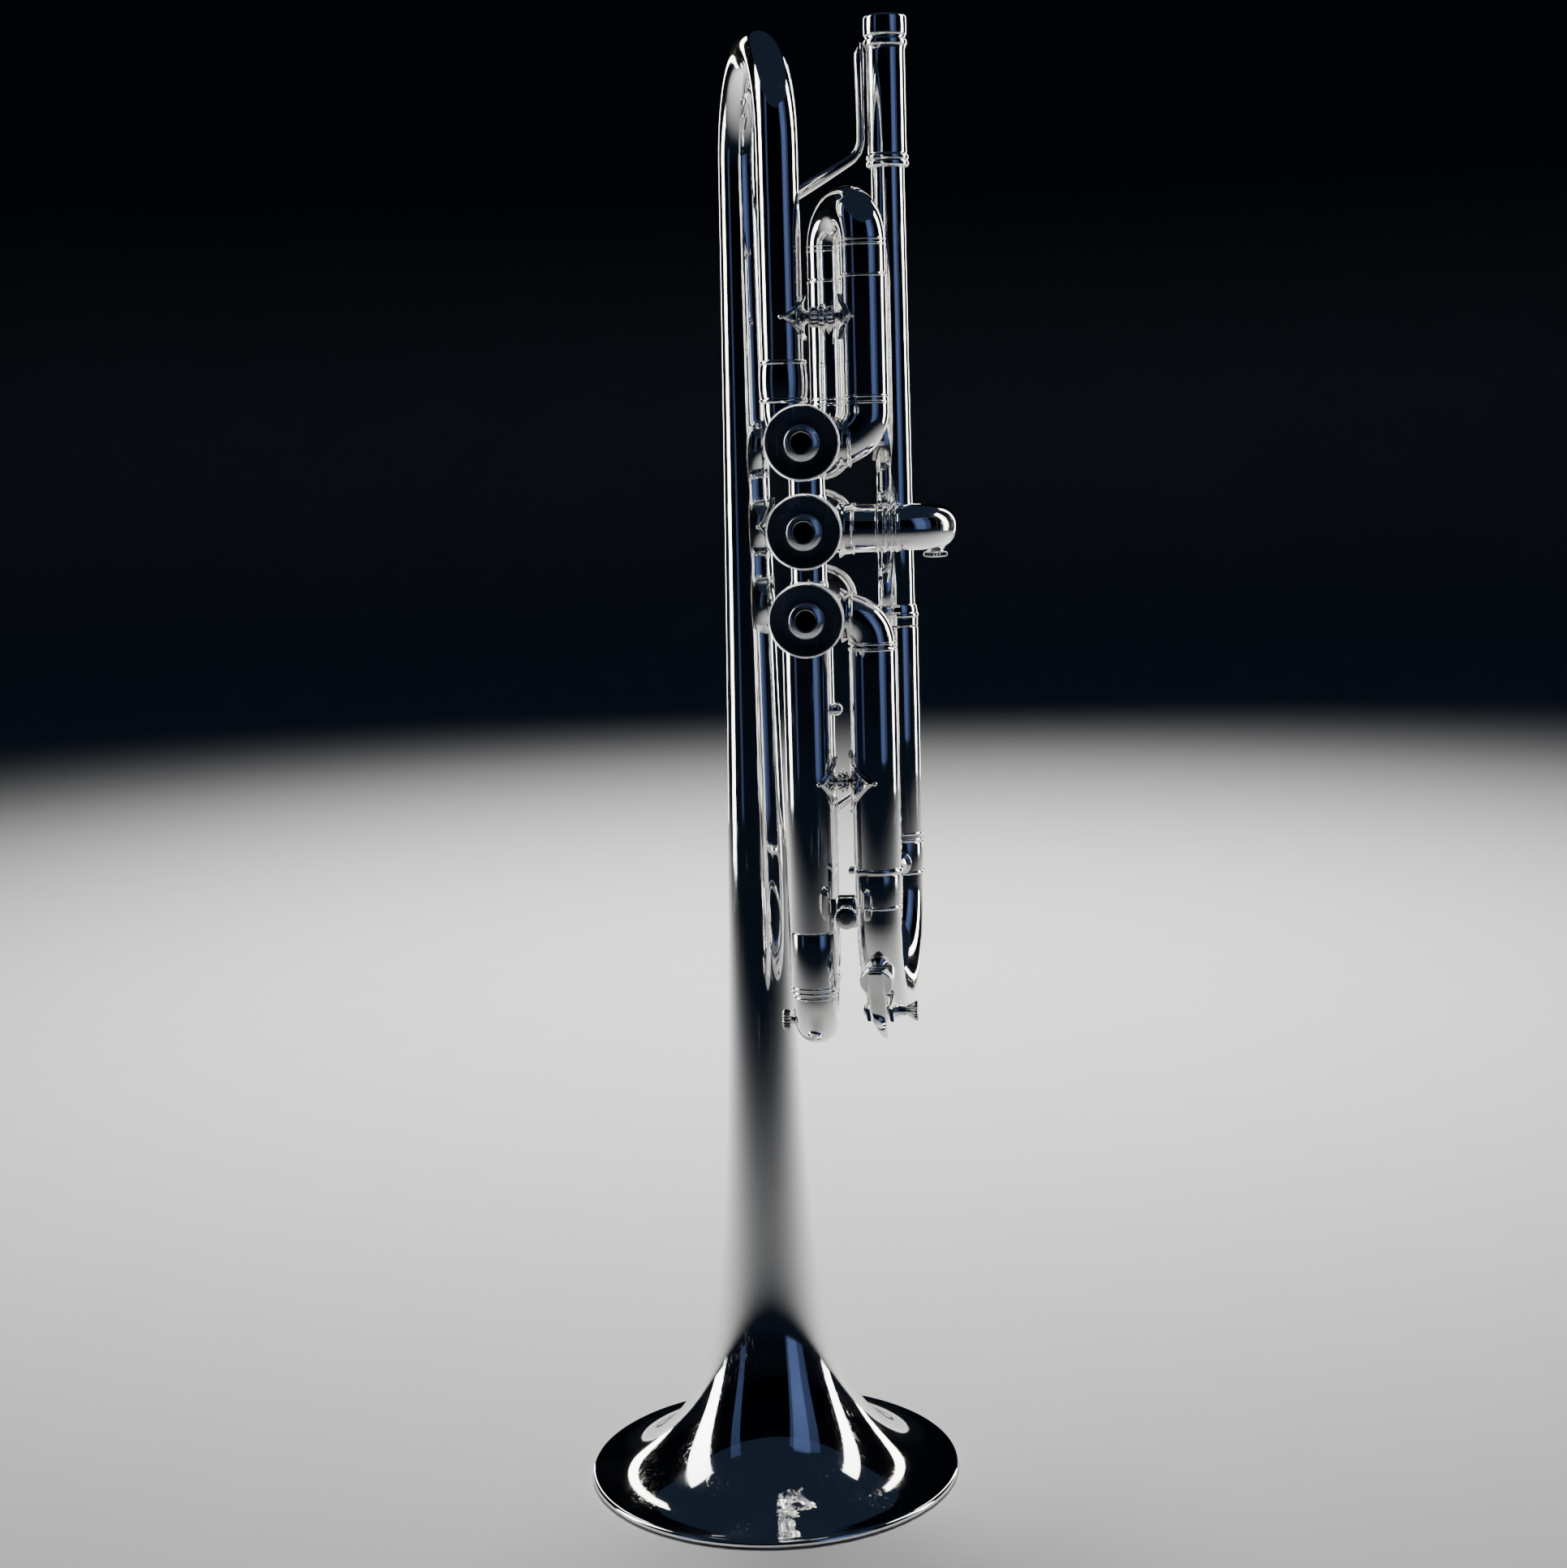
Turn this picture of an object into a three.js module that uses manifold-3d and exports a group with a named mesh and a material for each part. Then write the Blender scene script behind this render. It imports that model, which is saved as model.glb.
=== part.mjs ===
// Three-valve trumpet, standing on its bell rim. Millimetres, +Z up.
//
// Working frame: the bell's axis is the line X = 0, Y = 0 and its rim rests on Z = 0. The
// mouthpiece end is up. The valves lie along Y, with their bottom caps towards -Y and their
// finger buttons towards +Y. The last lines move the whole group so that the origin is the
// centre of the bounding box's bottom.

import * as THREE from 'three';
import { mergeVertices } from 'three/addons/utils/BufferGeometryUtils.js';
import Module from 'manifold-3d';

// ---------------------------------------------------------------- driving dimensions

const GAP = 0.3;                    // between pieces that touch on the real instrument
const SHEET = 0.45;                 // tube wall

const TOTAL_LENGTH = 470;
const BELL_RIM_RADIUS = 61.5;
const BELL_WALL = 0.6;
const BELL_TOP_RADIUS = 6.1;
const BOW_START = 423;              // height where the bell's stem becomes the bow
const BOW_CORNER = 456;             // height of the bow's highest centre line
const TAIL_END = 357.6;             // where the bell's tail stops inside its ferrule

const LOW = -61;                    // Y of the lower row of tubes
const HIGH = -41;                   // Y of the upper row of valve-slide tubes
const TAIL_X = 16;
const CROSSOVER_Y = LOW + 3;        // the short tubes between neighbouring casings

const VALVE_X = 22;
const VALVE_Z = [339.7, 314.7, 289.7];
const CASING = { radius: 9.5, bore: 8.6, bottom: -82.2, top: 34.9 };
const STROKE = 16;
const PISTON = { radius: 8.3, bottom: -66.2, top: -12, barrel: 7, barrelTop: 18 };
const CAP_RADIUS = 10.9;
const CAP_FACE = -84;
const CAP_SKIRT = -75;              // open end of a bottom cap
const VENT = 3;                     // radius of the hole in a bottom cap
const TOP_CAP_FACE = 37;
const TOP_CAP_SKIRT = 27;           // open end of a top cap
const BUTTON = { radius: 8.2, under: 54.8, top: 64, stem: 2.9 };

const FIRST = { near: [40, LOW], far: [29.5, -43], seat: 387.5, tube: 6.6, depth: 31, rise: 19.3 };
const SECOND = { near: LOW, far: HIGH, seat: 45.5, tube: 6.8, depth: 11, rise: 13.7 };
const THIRD = { x: 20.8, seat: 195.5, tube: 7.1, leg: 6.35, depth: 56, dumpSeat: 176.8, rise: 10.7 };
const TUNING = {
  near: [40.3, LOW], far: [46.8, -1], seat: 212.6,
  nearTube: 7.0, farTube: 6.7, leg: 5.95, depth: 60, rise: 44,
};
const BOW_TUBE = 6.6;               // outside radius of the slide crooks

const LEADPIPE = { bottom: 283, top: 432, wide: 5.85, narrow: 5.2 };
const RECEIVER = { bottom: 424.4, collar: 463, radius: 6.1, collarRadius: 6.5, socket: 5.2 };
const BRACE_ROD = 1.65;

// ---------------------------------------------------------------- materials

const metal = (color, roughness) => new THREE.MeshStandardMaterial({ color, roughness, metalness: 1 });
const SILVER = () => metal(0xdfe2e6, 0.1);
const NICKEL = () => metal(0xb9bcc0, 0.3);
const STEEL = () => metal(0x9a9da1, 0.35);
const CORK = () => new THREE.MeshStandardMaterial({ color: 0xc49a6c, roughness: 0.9, metalness: 0 });

// ---------------------------------------------------------------- geometry helpers

const wasm = await Module();
wasm.setup();

const trumpet = new THREE.Group();
const X = new THREE.Vector3(1, 0, 0);
const Y = new THREE.Vector3(0, 1, 0);
const Z = new THREE.Vector3(0, 0, 1);
const vec = (x, y, z) => new THREE.Vector3(x, y, z);

/** Adds a mesh whose geometry is already in the working frame. */
function add(name, geometry, material = SILVER()) {
  const mesh = new THREE.Mesh(geometry, material);
  mesh.name = name;
  trumpet.add(mesh);
  return mesh;
}

/** A turned solid about +Y from [radius, height] pairs, anticlockwise in that plane. */
function lathe(profile, sides = 12) {
  return new THREE.LatheGeometry(profile.map(([r, h]) => new THREE.Vector2(r, h)), sides);
}

/** Turns a geometry's +Y axis to `along` and moves its origin to `at`. */
function placed(geometry, at, along) {
  geometry.applyQuaternion(new THREE.Quaternion().setFromUnitVectors(Y, along.clone().normalize()));
  return geometry.translate(at.x, at.y, at.z);
}

/** Adds a turned piece, placed by its mesh's own position and rotation. */
function addTurned(name, profile, at, along, { sides = 12, material = SILVER() } = {}) {
  const mesh = add(name, lathe(profile, sides), material);
  mesh.position.copy(at);
  mesh.quaternion.setFromUnitVectors(Y, along);
  return mesh;
}

const ringProfile = (outer, inner, from, to) => [
  [inner, from], [outer, from], [outer, to], [inner, to], [inner, from],
];
const rodProfile = (radius, from, to) => [[0, from], [radius, from], [radius, to], [0, to]];

/** A line through corners, rounded at each inner one, with its steps only in the bends. */
class PipeRun extends THREE.Curve {
  constructor(corners, bendRadius, stepsPerBend) {
    super();
    const last = corners.length - 1;
    this.stations = [{ point: corners[0], tangent: corners[1].clone().sub(corners[0]).normalize() }];
    for (let i = 1; i < last; i += 1) {
      this.bend(corners[i - 1], corners[i], corners[i + 1], bendRadius, stepsPerBend);
    }
    const end = corners[last];
    this.push(end, end.clone().sub(corners[last - 1]).normalize());
  }

  bend(before, corner, after, radius, steps) {
    const arriving = corner.clone().sub(before).normalize();
    const leaving = after.clone().sub(corner).normalize();
    const angle = arriving.angleTo(leaving);
    const start = corner.clone().addScaledVector(arriving, -radius * Math.tan(angle / 2));
    const inward = leaving.clone().addScaledVector(arriving, -leaving.dot(arriving)).normalize();
    for (let k = 0; k <= steps; k += 1) {
      const a = (angle * k) / steps;
      const point = start.clone()
        .addScaledVector(arriving, radius * Math.sin(a))
        .addScaledVector(inward, radius * (1 - Math.cos(a)));
      const tangent = arriving.clone().multiplyScalar(Math.cos(a)).addScaledVector(inward, Math.sin(a));
      this.push(point, tangent);
    }
  }

  push(point, tangent) {
    const previous = this.stations[this.stations.length - 1].point;
    if (previous.distanceTo(point) > 0.01) this.stations.push({ point, tangent });
  }

  getPoint(t) {
    const place = t * (this.stations.length - 1);
    const i = Math.min(Math.floor(place), this.stations.length - 2);
    return this.stations[i].point.clone().lerp(this.stations[i + 1].point, place - i);
  }

  getSpacedPoints() {
    return this.stations.map((station) => station.point);
  }

  getTangentAt(u) {
    return this.stations[Math.round(u * (this.stations.length - 1))].tangent.clone();
  }
}

/** A round tube (or rod, with no bore) along corners with rounded bends. */
function pipe(corners, bendRadius, outer, inner, { steps = 3, sides = 10 } = {}) {
  const section = new THREE.Shape().absarc(0, 0, outer, 0, 2 * Math.PI, false);
  if (inner) section.holes.push(new THREE.Path().absarc(0, 0, inner, 0, 2 * Math.PI, true));
  const run = new PipeRun(corners, bendRadius, steps);
  return new THREE.ExtrudeGeometry(section, {
    steps: run.stations.length - 1, curveSegments: sides / 2, extrudePath: run,
  });
}

/** A closed geometry as a manifold solid: vertices welded, empty triangles dropped. */
function solid(geometry) {
  const bare = geometry.clone();
  bare.deleteAttribute('normal');
  bare.deleteAttribute('uv');
  const welded = mergeVertices(bare, 1e-4);
  const corners = welded.index.array;
  const kept = [];
  for (let i = 0; i < corners.length; i += 3) {
    const [a, b, c] = [corners[i], corners[i + 1], corners[i + 2]];
    if (a !== b && b !== c && c !== a) kept.push(a, b, c);
  }
  return new wasm.Manifold(new wasm.Mesh({
    numProp: 3,
    vertProperties: new Float32Array(welded.attributes.position.array),
    triVerts: new Uint32Array(kept),
  }));
}

function geometryOf(manifold) {
  const mesh = manifold.getMesh();
  const geometry = new THREE.BufferGeometry();
  geometry.setAttribute('position', new THREE.BufferAttribute(mesh.vertProperties, 3));
  geometry.setIndex(new THREE.BufferAttribute(mesh.triVerts, 1));
  geometry.computeVertexNormals();
  return geometry;
}

const joined = (...pieces) => geometryOf(pieces.map(solid).reduce((sum, piece) => sum.add(piece)));
const cutBy = (piece, ...tools) => geometryOf(
  tools.map(solid).reduce((rest, tool) => rest.subtract(tool), solid(piece)),
);
const box = (low, high) => {
  const size = high.clone().sub(low);
  const middle = low.clone().add(high).multiplyScalar(0.5);
  return new THREE.BoxGeometry(size.x, size.y, size.z).translate(middle.x, middle.y, middle.z);
};

/** The space a valve casing needs: a tube that meets the casing is cut by this. */
function casingSpace(valve) {
  const reach = lathe(rodProfile(CASING.radius + GAP, CASING.bottom, CASING.top), 16);
  return placed(reach, vec(VALVE_X, 0, VALVE_Z[valve]), Y);
}

// ---------------------------------------------------------------- bell

/** Outside of the bell above its bead, as [radius, height] from the rim to the bow. */
const BELL_OUTSIDE = [
  [56, 2.9], [48, 5.4], [40.5, 10], [34.5, 16], [30.7, 21], [24.9, 31], [21, 41], [17.6, 61],
  [14, 100], [11.5, 142], [10.5, 182], [8.8, 249], [7.4, 327], [BELL_TOP_RADIUS, BOW_START - GAP],
];

/** Moves each point of a rising profile towards the axis, square to the profile. */
function insideOf(profile, wall) {
  return profile.map(([r, h], i) => {
    const [r0, h0] = profile[Math.max(i - 1, 0)];
    const [r1, h1] = profile[Math.min(i + 1, profile.length - 1)];
    const length = Math.hypot(r1 - r0, h1 - h0);
    const edge = i === profile.length - 1;
    return edge ? [r - wall, h] : [r - (wall * (h1 - h0)) / length, h + (wall * (r1 - r0)) / length];
  });
}

function addBell() {
  const R = BELL_RIM_RADIUS;
  const bead = [
    [R - 2.1, 0], [R - 0.6, 0], [R, 0.7], [R, 1.7], [R - 0.6, 2.4], [R - 1.9, 2.4],
  ];
  const inside = insideOf(BELL_OUTSIDE, BELL_WALL).reverse();
  const profile = [...bead, ...BELL_OUTSIDE, ...inside, bead[0]];
  addTurned('bell', profile, vec(0, 0, 0), Z, { sides: 20 });

  const span = Math.hypot(TAIL_X, LOW);
  const bowCorners = [
    vec(0, 0, BOW_START), vec(0, 0, BOW_CORNER), vec(TAIL_X, LOW, BOW_CORNER), vec(TAIL_X, LOW, TAIL_END),
  ];
  add('bell_bow', pipe(bowCorners, span / 2, 6.05, 5.5, { steps: 4, sides: 12 }));

  const ferrule = [
    [6.35, 351.6], [6.75, 351.6], [7.05, 354.5], [7.05, 359], [6.8, 363.4], [6.35, 363.4], [6.35, 351.6],
  ];
  addTurned('bell_tail_ferrule', ferrule, vec(TAIL_X, LOW, 0), Z);

  const into = VALVE_X - TAIL_X;
  const elbow = pipe(
    [vec(TAIL_X, LOW, TAIL_END - GAP), vec(TAIL_X, LOW, VALVE_Z[0] + into), vec(VALVE_X, LOW, VALVE_Z[0])],
    10, 5.9, 5.3,
  );
  add('bell_tail_elbow', cutBy(elbow, casingSpace(0)));
}

// ---------------------------------------------------------------- leadpipe and receiver

function addLeadpipe() {
  const [x, y] = TUNING.far;
  const at = vec(x, y, 0);
  const { bottom, top, wide, narrow } = LEADPIPE;
  const wall = 0.55;
  addTurned('leadpipe', [
    [wide - wall, bottom], [wide, bottom], [narrow, top], [narrow - wall, top], [wide - wall, bottom],
  ], at, Z);
  addTurned('leadpipe_ferrule', ringProfile(TUNING.farTube, wide + GAP, bottom - 0.7, bottom + 6), at, Z);

  const r = RECEIVER;
  addTurned('mouthpiece_receiver', [
    [narrow + GAP, r.bottom], [r.radius, r.bottom], [r.radius + 0.1, r.collar], [r.collarRadius, r.collar],
    [r.collarRadius, TOTAL_LENGTH], [r.socket, TOTAL_LENGTH], [4.7, top + 1.5],
    [narrow + GAP, top + GAP], [narrow + GAP, r.bottom],
  ], at, Z);
}

/** Little-finger hook: a foot along the leadpipe and an open band for the finger. */
function addFingerHook() {
  const [x, y] = TUNING.far;
  const footY = y + 5.8 + GAP;
  const middle = 316;
  const width = 6;
  const foot = box(vec(x - width / 2, footY, middle - 13), vec(x + width / 2, footY + 1.8, middle + 13));
  const band = new THREE.Shape();
  const [outer, inner] = [12.4, 10.4];
  const [start, end] = [-Math.PI / 2, Math.PI / 3 - 2 * Math.PI];
  band.absarc(0, 0, outer, start, end, true);
  band.absarc(0, 0, inner, end, start, false);
  const hook = new THREE.ExtrudeGeometry(band, { depth: width, bevelEnabled: false, curveSegments: 8 });
  // The band's plane is turned to Y-Z: its X axis becomes Z and its Y axis stays Y.
  hook.rotateY(-Math.PI / 2).translate(x + width / 2, footY + outer - 0.2, middle);
  add('finger_hook', joined(foot, hook));
}

// ---------------------------------------------------------------- valves

function addValve(valve, ports) {
  const n = valve + 1;
  const at = vec(VALVE_X, 0, VALVE_Z[valve]);
  const c = CASING;

  const holes = ports.map(({ y, towards }) => (
    placed(lathe(rodProfile(4.6, 0, 12), 6), vec(VALVE_X, y, VALVE_Z[valve]), towards)
  ));
  const barrel = placed(lathe(ringProfile(c.radius, c.bore, c.bottom, c.top)), at, Y);
  add(`valve_casing_${n}`, cutBy(barrel, ...holes));

  const wide = c.radius + GAP;
  const floor = CAP_FACE + 1.5;
  addTurned(`bottom_cap_${n}`, [
    [VENT, CAP_FACE - 1.6], [4.6, CAP_FACE - 1.6], [5.2, CAP_FACE + 0.5], [9.4, CAP_FACE],
    [CAP_RADIUS, CAP_FACE], [CAP_RADIUS, CAP_SKIRT], [wide, CAP_SKIRT], [wide, floor], [VENT, floor],
    [VENT, CAP_FACE - 1.6],
  ], at, Y);
  addTurned(`top_cap_${n}`, [
    [wide, TOP_CAP_SKIRT], [11.2, TOP_CAP_SKIRT], [11.2, TOP_CAP_FACE - 1], [9.6, TOP_CAP_FACE],
    [3.4, TOP_CAP_FACE], [3.4, c.top + GAP], [wide, c.top + GAP], [wide, TOP_CAP_SKIRT],
  ], at, Y);

  addPiston(n, at);
  addGuideAndSpring(n, at);

  const b = BUTTON;
  addTurned(`finger_button_${n}`, [
    [0, PISTON.barrelTop + GAP], [b.stem, PISTON.barrelTop + GAP], [b.stem, b.under], [6.6, b.under + 1],
    [b.radius, b.under + 3.2], [b.radius, b.top - 2.6], [b.radius - 1, b.top - 1], [0, b.top],
  ], at, Y);
}

/** Hollow piston with its ports and, above it, the slotted spring barrel. */
function addPiston(n, at) {
  const p = PISTON;
  const body = placed(lathe([
    [0, p.top - 1.5], [7.4, p.top - 1.5], [7.4, p.bottom + 1], [3, p.bottom + 1], [3, p.bottom],
    [p.radius, p.bottom], [p.radius, p.top], [p.barrel, p.top], [p.barrel, p.barrelTop],
    [2, p.barrelTop], [2, p.barrelTop - 1.5], [6.2, p.barrelTop - 1.5], [6.2, p.top], [0, p.top],
  ]), at, Y);
  const slots = box(
    vec(at.x - 9, p.top + 1, at.z - 2.4), vec(at.x + 9, p.top + 5 + STROKE + 1.5, at.z + 2.4),
  );
  const port = (y, along) => placed(lathe(rodProfile(4.4, -10, 10), 6), vec(at.x, y, at.z), along);
  add(`piston_${n}`, cutBy(body, slots, port(LOW, Z), port(HIGH, X)), NICKEL());
}

/** The guide stays in the casing, across the barrel's slots, and carries the spring. */
function addGuideAndSpring(n, at) {
  const low = PISTON.top + 1.5;
  const key = box(vec(at.x - 7.9, low, at.z - 1.9), vec(at.x + 7.9, low + 2.6, at.z + 1.9));
  const hub = placed(lathe(rodProfile(5.5, low, low + 2.6), 10), at, Y);
  add(`valve_guide_${n}`, joined(key, hub), NICKEL());

  const [from, to, turns, radius] = [low + 3.4, PISTON.barrelTop - 2.4, 5, 4.6];
  class Coil extends THREE.Curve {
    getPoint(t) {
      const a = 2 * Math.PI * turns * t;
      return vec(at.x + radius * Math.cos(a), from + (to - from) * t, at.z + radius * Math.sin(a));
    }
  }
  const wire = new THREE.Shape().absarc(0, 0, 0.45, 0, 2 * Math.PI, false);
  add(`valve_spring_${n}`, new THREE.ExtrudeGeometry(wire, {
    steps: turns * 6, curveSegments: 2, extrudePath: new Coil(),
  }), STEEL());
}

/** Short tube between two neighbouring casings. */
function addCrossover(name, upper, lower) {
  const tube = placed(
    lathe(ringProfile(5.3, 4.6, VALVE_Z[lower] + 6, VALVE_Z[upper] - 6)), vec(VALVE_X, CROSSOVER_Y, 0), Z,
  );
  add(name, cutBy(tube, casingSpace(upper), casingSpace(lower)));
}

// ---------------------------------------------------------------- slides

/**
 * A slide's moving crook: two legs that enter their outer tubes by `depth`, and a bow that
 * starts at the seat and turns `rise` beyond it.
 */
function crook(near, far, out, { depth, rise, leg, bore, bow = BOW_TUBE, steps = 4 }) {
  const go = (point, distance) => point.clone().addScaledVector(out, distance);
  const radius = near.distanceTo(far) / 2;
  const [nearTop, farTop] = [go(near, rise), go(far, rise)];
  const legs = pipe([go(near, -depth), nearTop, farTop, go(far, -depth)], radius, leg, bore, { steps });
  const outside = pipe([near, nearTop, farTop, far], radius, bow, leg - 0.2, { steps });
  return [legs, outside];
}

function addFirstSlide() {
  const { near, far, seat, tube } = FIRST;
  const bore = tube - SHEET;
  const z = VALVE_Z[0];
  const straight = pipe([
    vec(...near, seat - GAP), vec(...near, z), vec(VALVE_X, near[1], z),
  ], 9, tube, bore);
  add('first_slide_outer_lower', cutBy(straight, casingSpace(0)));
  const offset = far[0] - VALVE_X;
  const angled = pipe([
    vec(...far, seat - GAP), vec(...far, z + offset), vec(VALVE_X, far[1], z),
  ], 8, tube, bore, { steps: 2 });
  add('first_slide_outer_upper', cutBy(angled, casingSpace(0)));

  const leg = bore - GAP;
  add('first_slide_crook', joined(...crook(vec(...near, seat), vec(...far, seat), Z, {
    depth: FIRST.depth, rise: FIRST.rise, leg, bore: leg - 0.5,
  })));

  // Thumb saddle: a U on the upper leg's sleeve, open towards +Y.
  const [base, height, half, wall, width] = [far[1] + tube + GAP, 19, 12, 1.8, 9];
  const side = new THREE.Shape([
    [-half, 0], [half, 0], [half, height], [half - wall, height], [half - wall, wall],
    [wall - half, wall], [wall - half, height], [-half, height],
  ].map(([u, v]) => new THREE.Vector2(u, v)));
  const saddle = new THREE.ExtrudeGeometry(side, { depth: width, bevelEnabled: false });
  saddle.rotateY(-Math.PI / 2);
  const mesh = add('first_slide_thumb_saddle', saddle);
  mesh.position.set(far[0] + width / 2, base, seat + 4.5);
}

function addSecondSlide() {
  const { near, far, seat, tube } = SECOND;
  const bore = tube - SHEET;
  const z = VALVE_Z[1];
  for (const [name, y] of [['second_slide_outer_lower', near], ['second_slide_outer_upper', far]]) {
    const outer = placed(lathe(ringProfile(tube, bore, VALVE_X + 5, seat - GAP)), vec(0, y, z), X);
    add(name, cutBy(outer, casingSpace(1)));
  }
  const leg = bore - GAP;
  const bowEnd = seat + SECOND.rise;
  const knob = placed(lathe([
    [0, 0], [2.8, 0], [2.3, 0.6], [2.3, 0.9], [3.5, 1.4], [3.5, 2.8], [0, 3],
  ], 12), vec(bowEnd, (near + far) / 2, z - BOW_TUBE + 0.4), Z.clone().negate());
  add('second_slide_crook', joined(...crook(vec(seat, near, z), vec(seat, far, z), X, {
    depth: SECOND.depth, rise: SECOND.rise, leg, bore: leg - 0.5,
  }), knob));
}

function addThirdSlide() {
  const { x, seat, tube, leg, depth, dumpSeat } = THIRD;
  const top = VALVE_Z[2];
  const pair = [['third_slide_outer_lower', LOW], ['third_slide_outer_upper', HIGH]];
  for (const [name, y] of pair) {
    const outer = placed(lathe(ringProfile(tube, tube - SHEET, seat + GAP, top - 5)), vec(x, y, 0), Z);
    add(name, cutBy(outer, casingSpace(2)));
  }

  const sleeves = [LOW, HIGH].flatMap((y) => [
    placed(lathe(ringProfile(leg, leg - 0.5, dumpSeat, seat + depth)), vec(x, y, 0), Z),
    placed(lathe(ringProfile(tube, leg - 0.2, dumpSeat, seat)), vec(x, y, 0), Z),
  ]);
  const bar = placed(lathe(rodProfile(1.9, LOW + tube - 0.3, HIGH - tube + 0.3), 10), vec(x, 0, 186), Y);
  add('third_slide_sleeves', joined(...sleeves, bar));

  const down = Z.clone().negate();
  const dumpLeg = leg - 0.5 - GAP;
  const knob = placed(lathe([
    [0, 0], [1.7, 0], [1.7, 1.2], [3.1, 1.6], [3.1, 4], [0, 4.3],
  ], 10), vec(x - BOW_TUBE + 0.4, LOW + 5, 167.4), X.clone().negate());
  const [dumpNear, dumpFar] = [LOW, HIGH].map((y) => vec(x, y, dumpSeat - GAP));
  add('third_slide_dump_crook', joined(...crook(dumpNear, dumpFar, down, {
    depth: 13, rise: THIRD.rise, leg: dumpLeg, bore: dumpLeg - 0.5,
  }), knob));

  // Finger ring on the upper sleeve: a hoop about X and the foot it stands on.
  const [hoop, wire] = [12, 1.6];
  const footY = HIGH + tube + GAP;
  const centre = vec(x, footY + 1.4 + wire + hoop - 0.6, 186);
  const ring = new THREE.TorusGeometry(hoop, wire, 6, 12).rotateY(Math.PI / 2);
  ring.translate(centre.x, centre.y, centre.z);
  const foot = box(vec(x - 2.4, footY, 181), vec(x + 2.4, footY + 1.6, 191));
  add('third_slide_ring', joined(ring, foot));
}

function addTuningSlide() {
  const t = TUNING;
  const z = VALVE_Z[2];
  const knuckleEnd = 280.5;
  const knuckle = pipe([
    vec(VALVE_X, t.near[1], z), vec(...t.near, z), vec(...t.near, knuckleEnd),
  ], 9, 6.6, 6.1, { steps: 4 });
  add('third_valve_knuckle', cutBy(knuckle, casingSpace(2)));
  addTurned('tuning_outer_tube_lower', ringProfile(
    t.nearTube, t.nearTube - SHEET, t.seat + GAP, knuckleEnd - GAP,
  ), vec(...t.near, 0), Z);
  addTurned('tuning_outer_tube_upper', ringProfile(
    t.farTube, t.farTube - SHEET, t.seat + GAP, LEADPIPE.bottom - 1,
  ), vec(...t.far, 0), Z);

  const down = Z.clone().negate();
  const nipple = placed(lathe(rodProfile(3.4, 6.2, 7.2), 10), ...onBow(WATER_KEY.cupAngle, 0));
  add('tuning_slide_crook', joined(...crook(vec(...t.near, t.seat), vec(...t.far, t.seat), down, {
    depth: t.depth, rise: t.rise, leg: t.leg, bore: t.leg - 0.5, steps: 6,
  }), nipple));

  // Brace between the crook's two sleeves: a rod with a round foot at each end.
  const from = vec(...t.near, 206.5);
  const to = vec(...t.far, 206.5);
  const reach = from.distanceTo(to);
  const [start, end] = [BOW_TUBE + GAP, reach - BOW_TUBE - GAP];
  addTurned('tuning_slide_brace', [
    [0, start], [4, start], [4, start + 1], [1.7, start + 2.6], [1.7, reach / 2 - 2], [2.6, reach / 2],
    [1.7, reach / 2 + 2], [1.7, end - 2.6], [4, end - 1], [4, end], [0, end],
  ], from, to.clone().sub(from).normalize(), { sides: 12 });
}

// ---------------------------------------------------------------- water key

/** Angles are measured round the tuning crook's bow, from its lower leg downwards. */
const WATER_KEY = { cupAngle: 24, pinAngle: 41, pinHeight: 11.6, leverTop: 15, tailAngle: 60, width: 5 };

/** A point at `height` from the bow's centre line at an angle, and the way out there. */
function onBow(degrees, height) {
  const t = TUNING;
  const from = vec(...t.far, 0);
  const across = vec(...t.near, 0).sub(from);
  const radius = across.length() / 2;
  const centre = from.addScaledVector(across, 0.5).setZ(t.seat - t.rise + radius);
  const a = THREE.MathUtils.degToRad(degrees);
  const outward = across.normalize().multiplyScalar(Math.cos(a)).addScaledVector(Z, -Math.sin(a));
  return [centre.addScaledVector(outward, radius + height), outward];
}

/** Extrudes an outline given in [angle, height] on the bow by `width`, centred on its plane. */
function acrossBow(outline, width) {
  const [origin] = onBow(0, 0);
  const out = onBow(0, 0)[1];
  const normal = out.clone().cross(Z);
  const shape = new THREE.Shape(outline.map(([degrees, height]) => {
    const offset = onBow(degrees, height)[0].sub(origin);
    return new THREE.Vector2(offset.dot(out), offset.z);
  }));
  const slab = new THREE.ExtrudeGeometry(shape, { depth: width, bevelEnabled: false });
  slab.translate(0, 0, -width / 2);
  return slab.applyMatrix4(new THREE.Matrix4().makeBasis(out, Z, normal).setPosition(origin));
}

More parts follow.
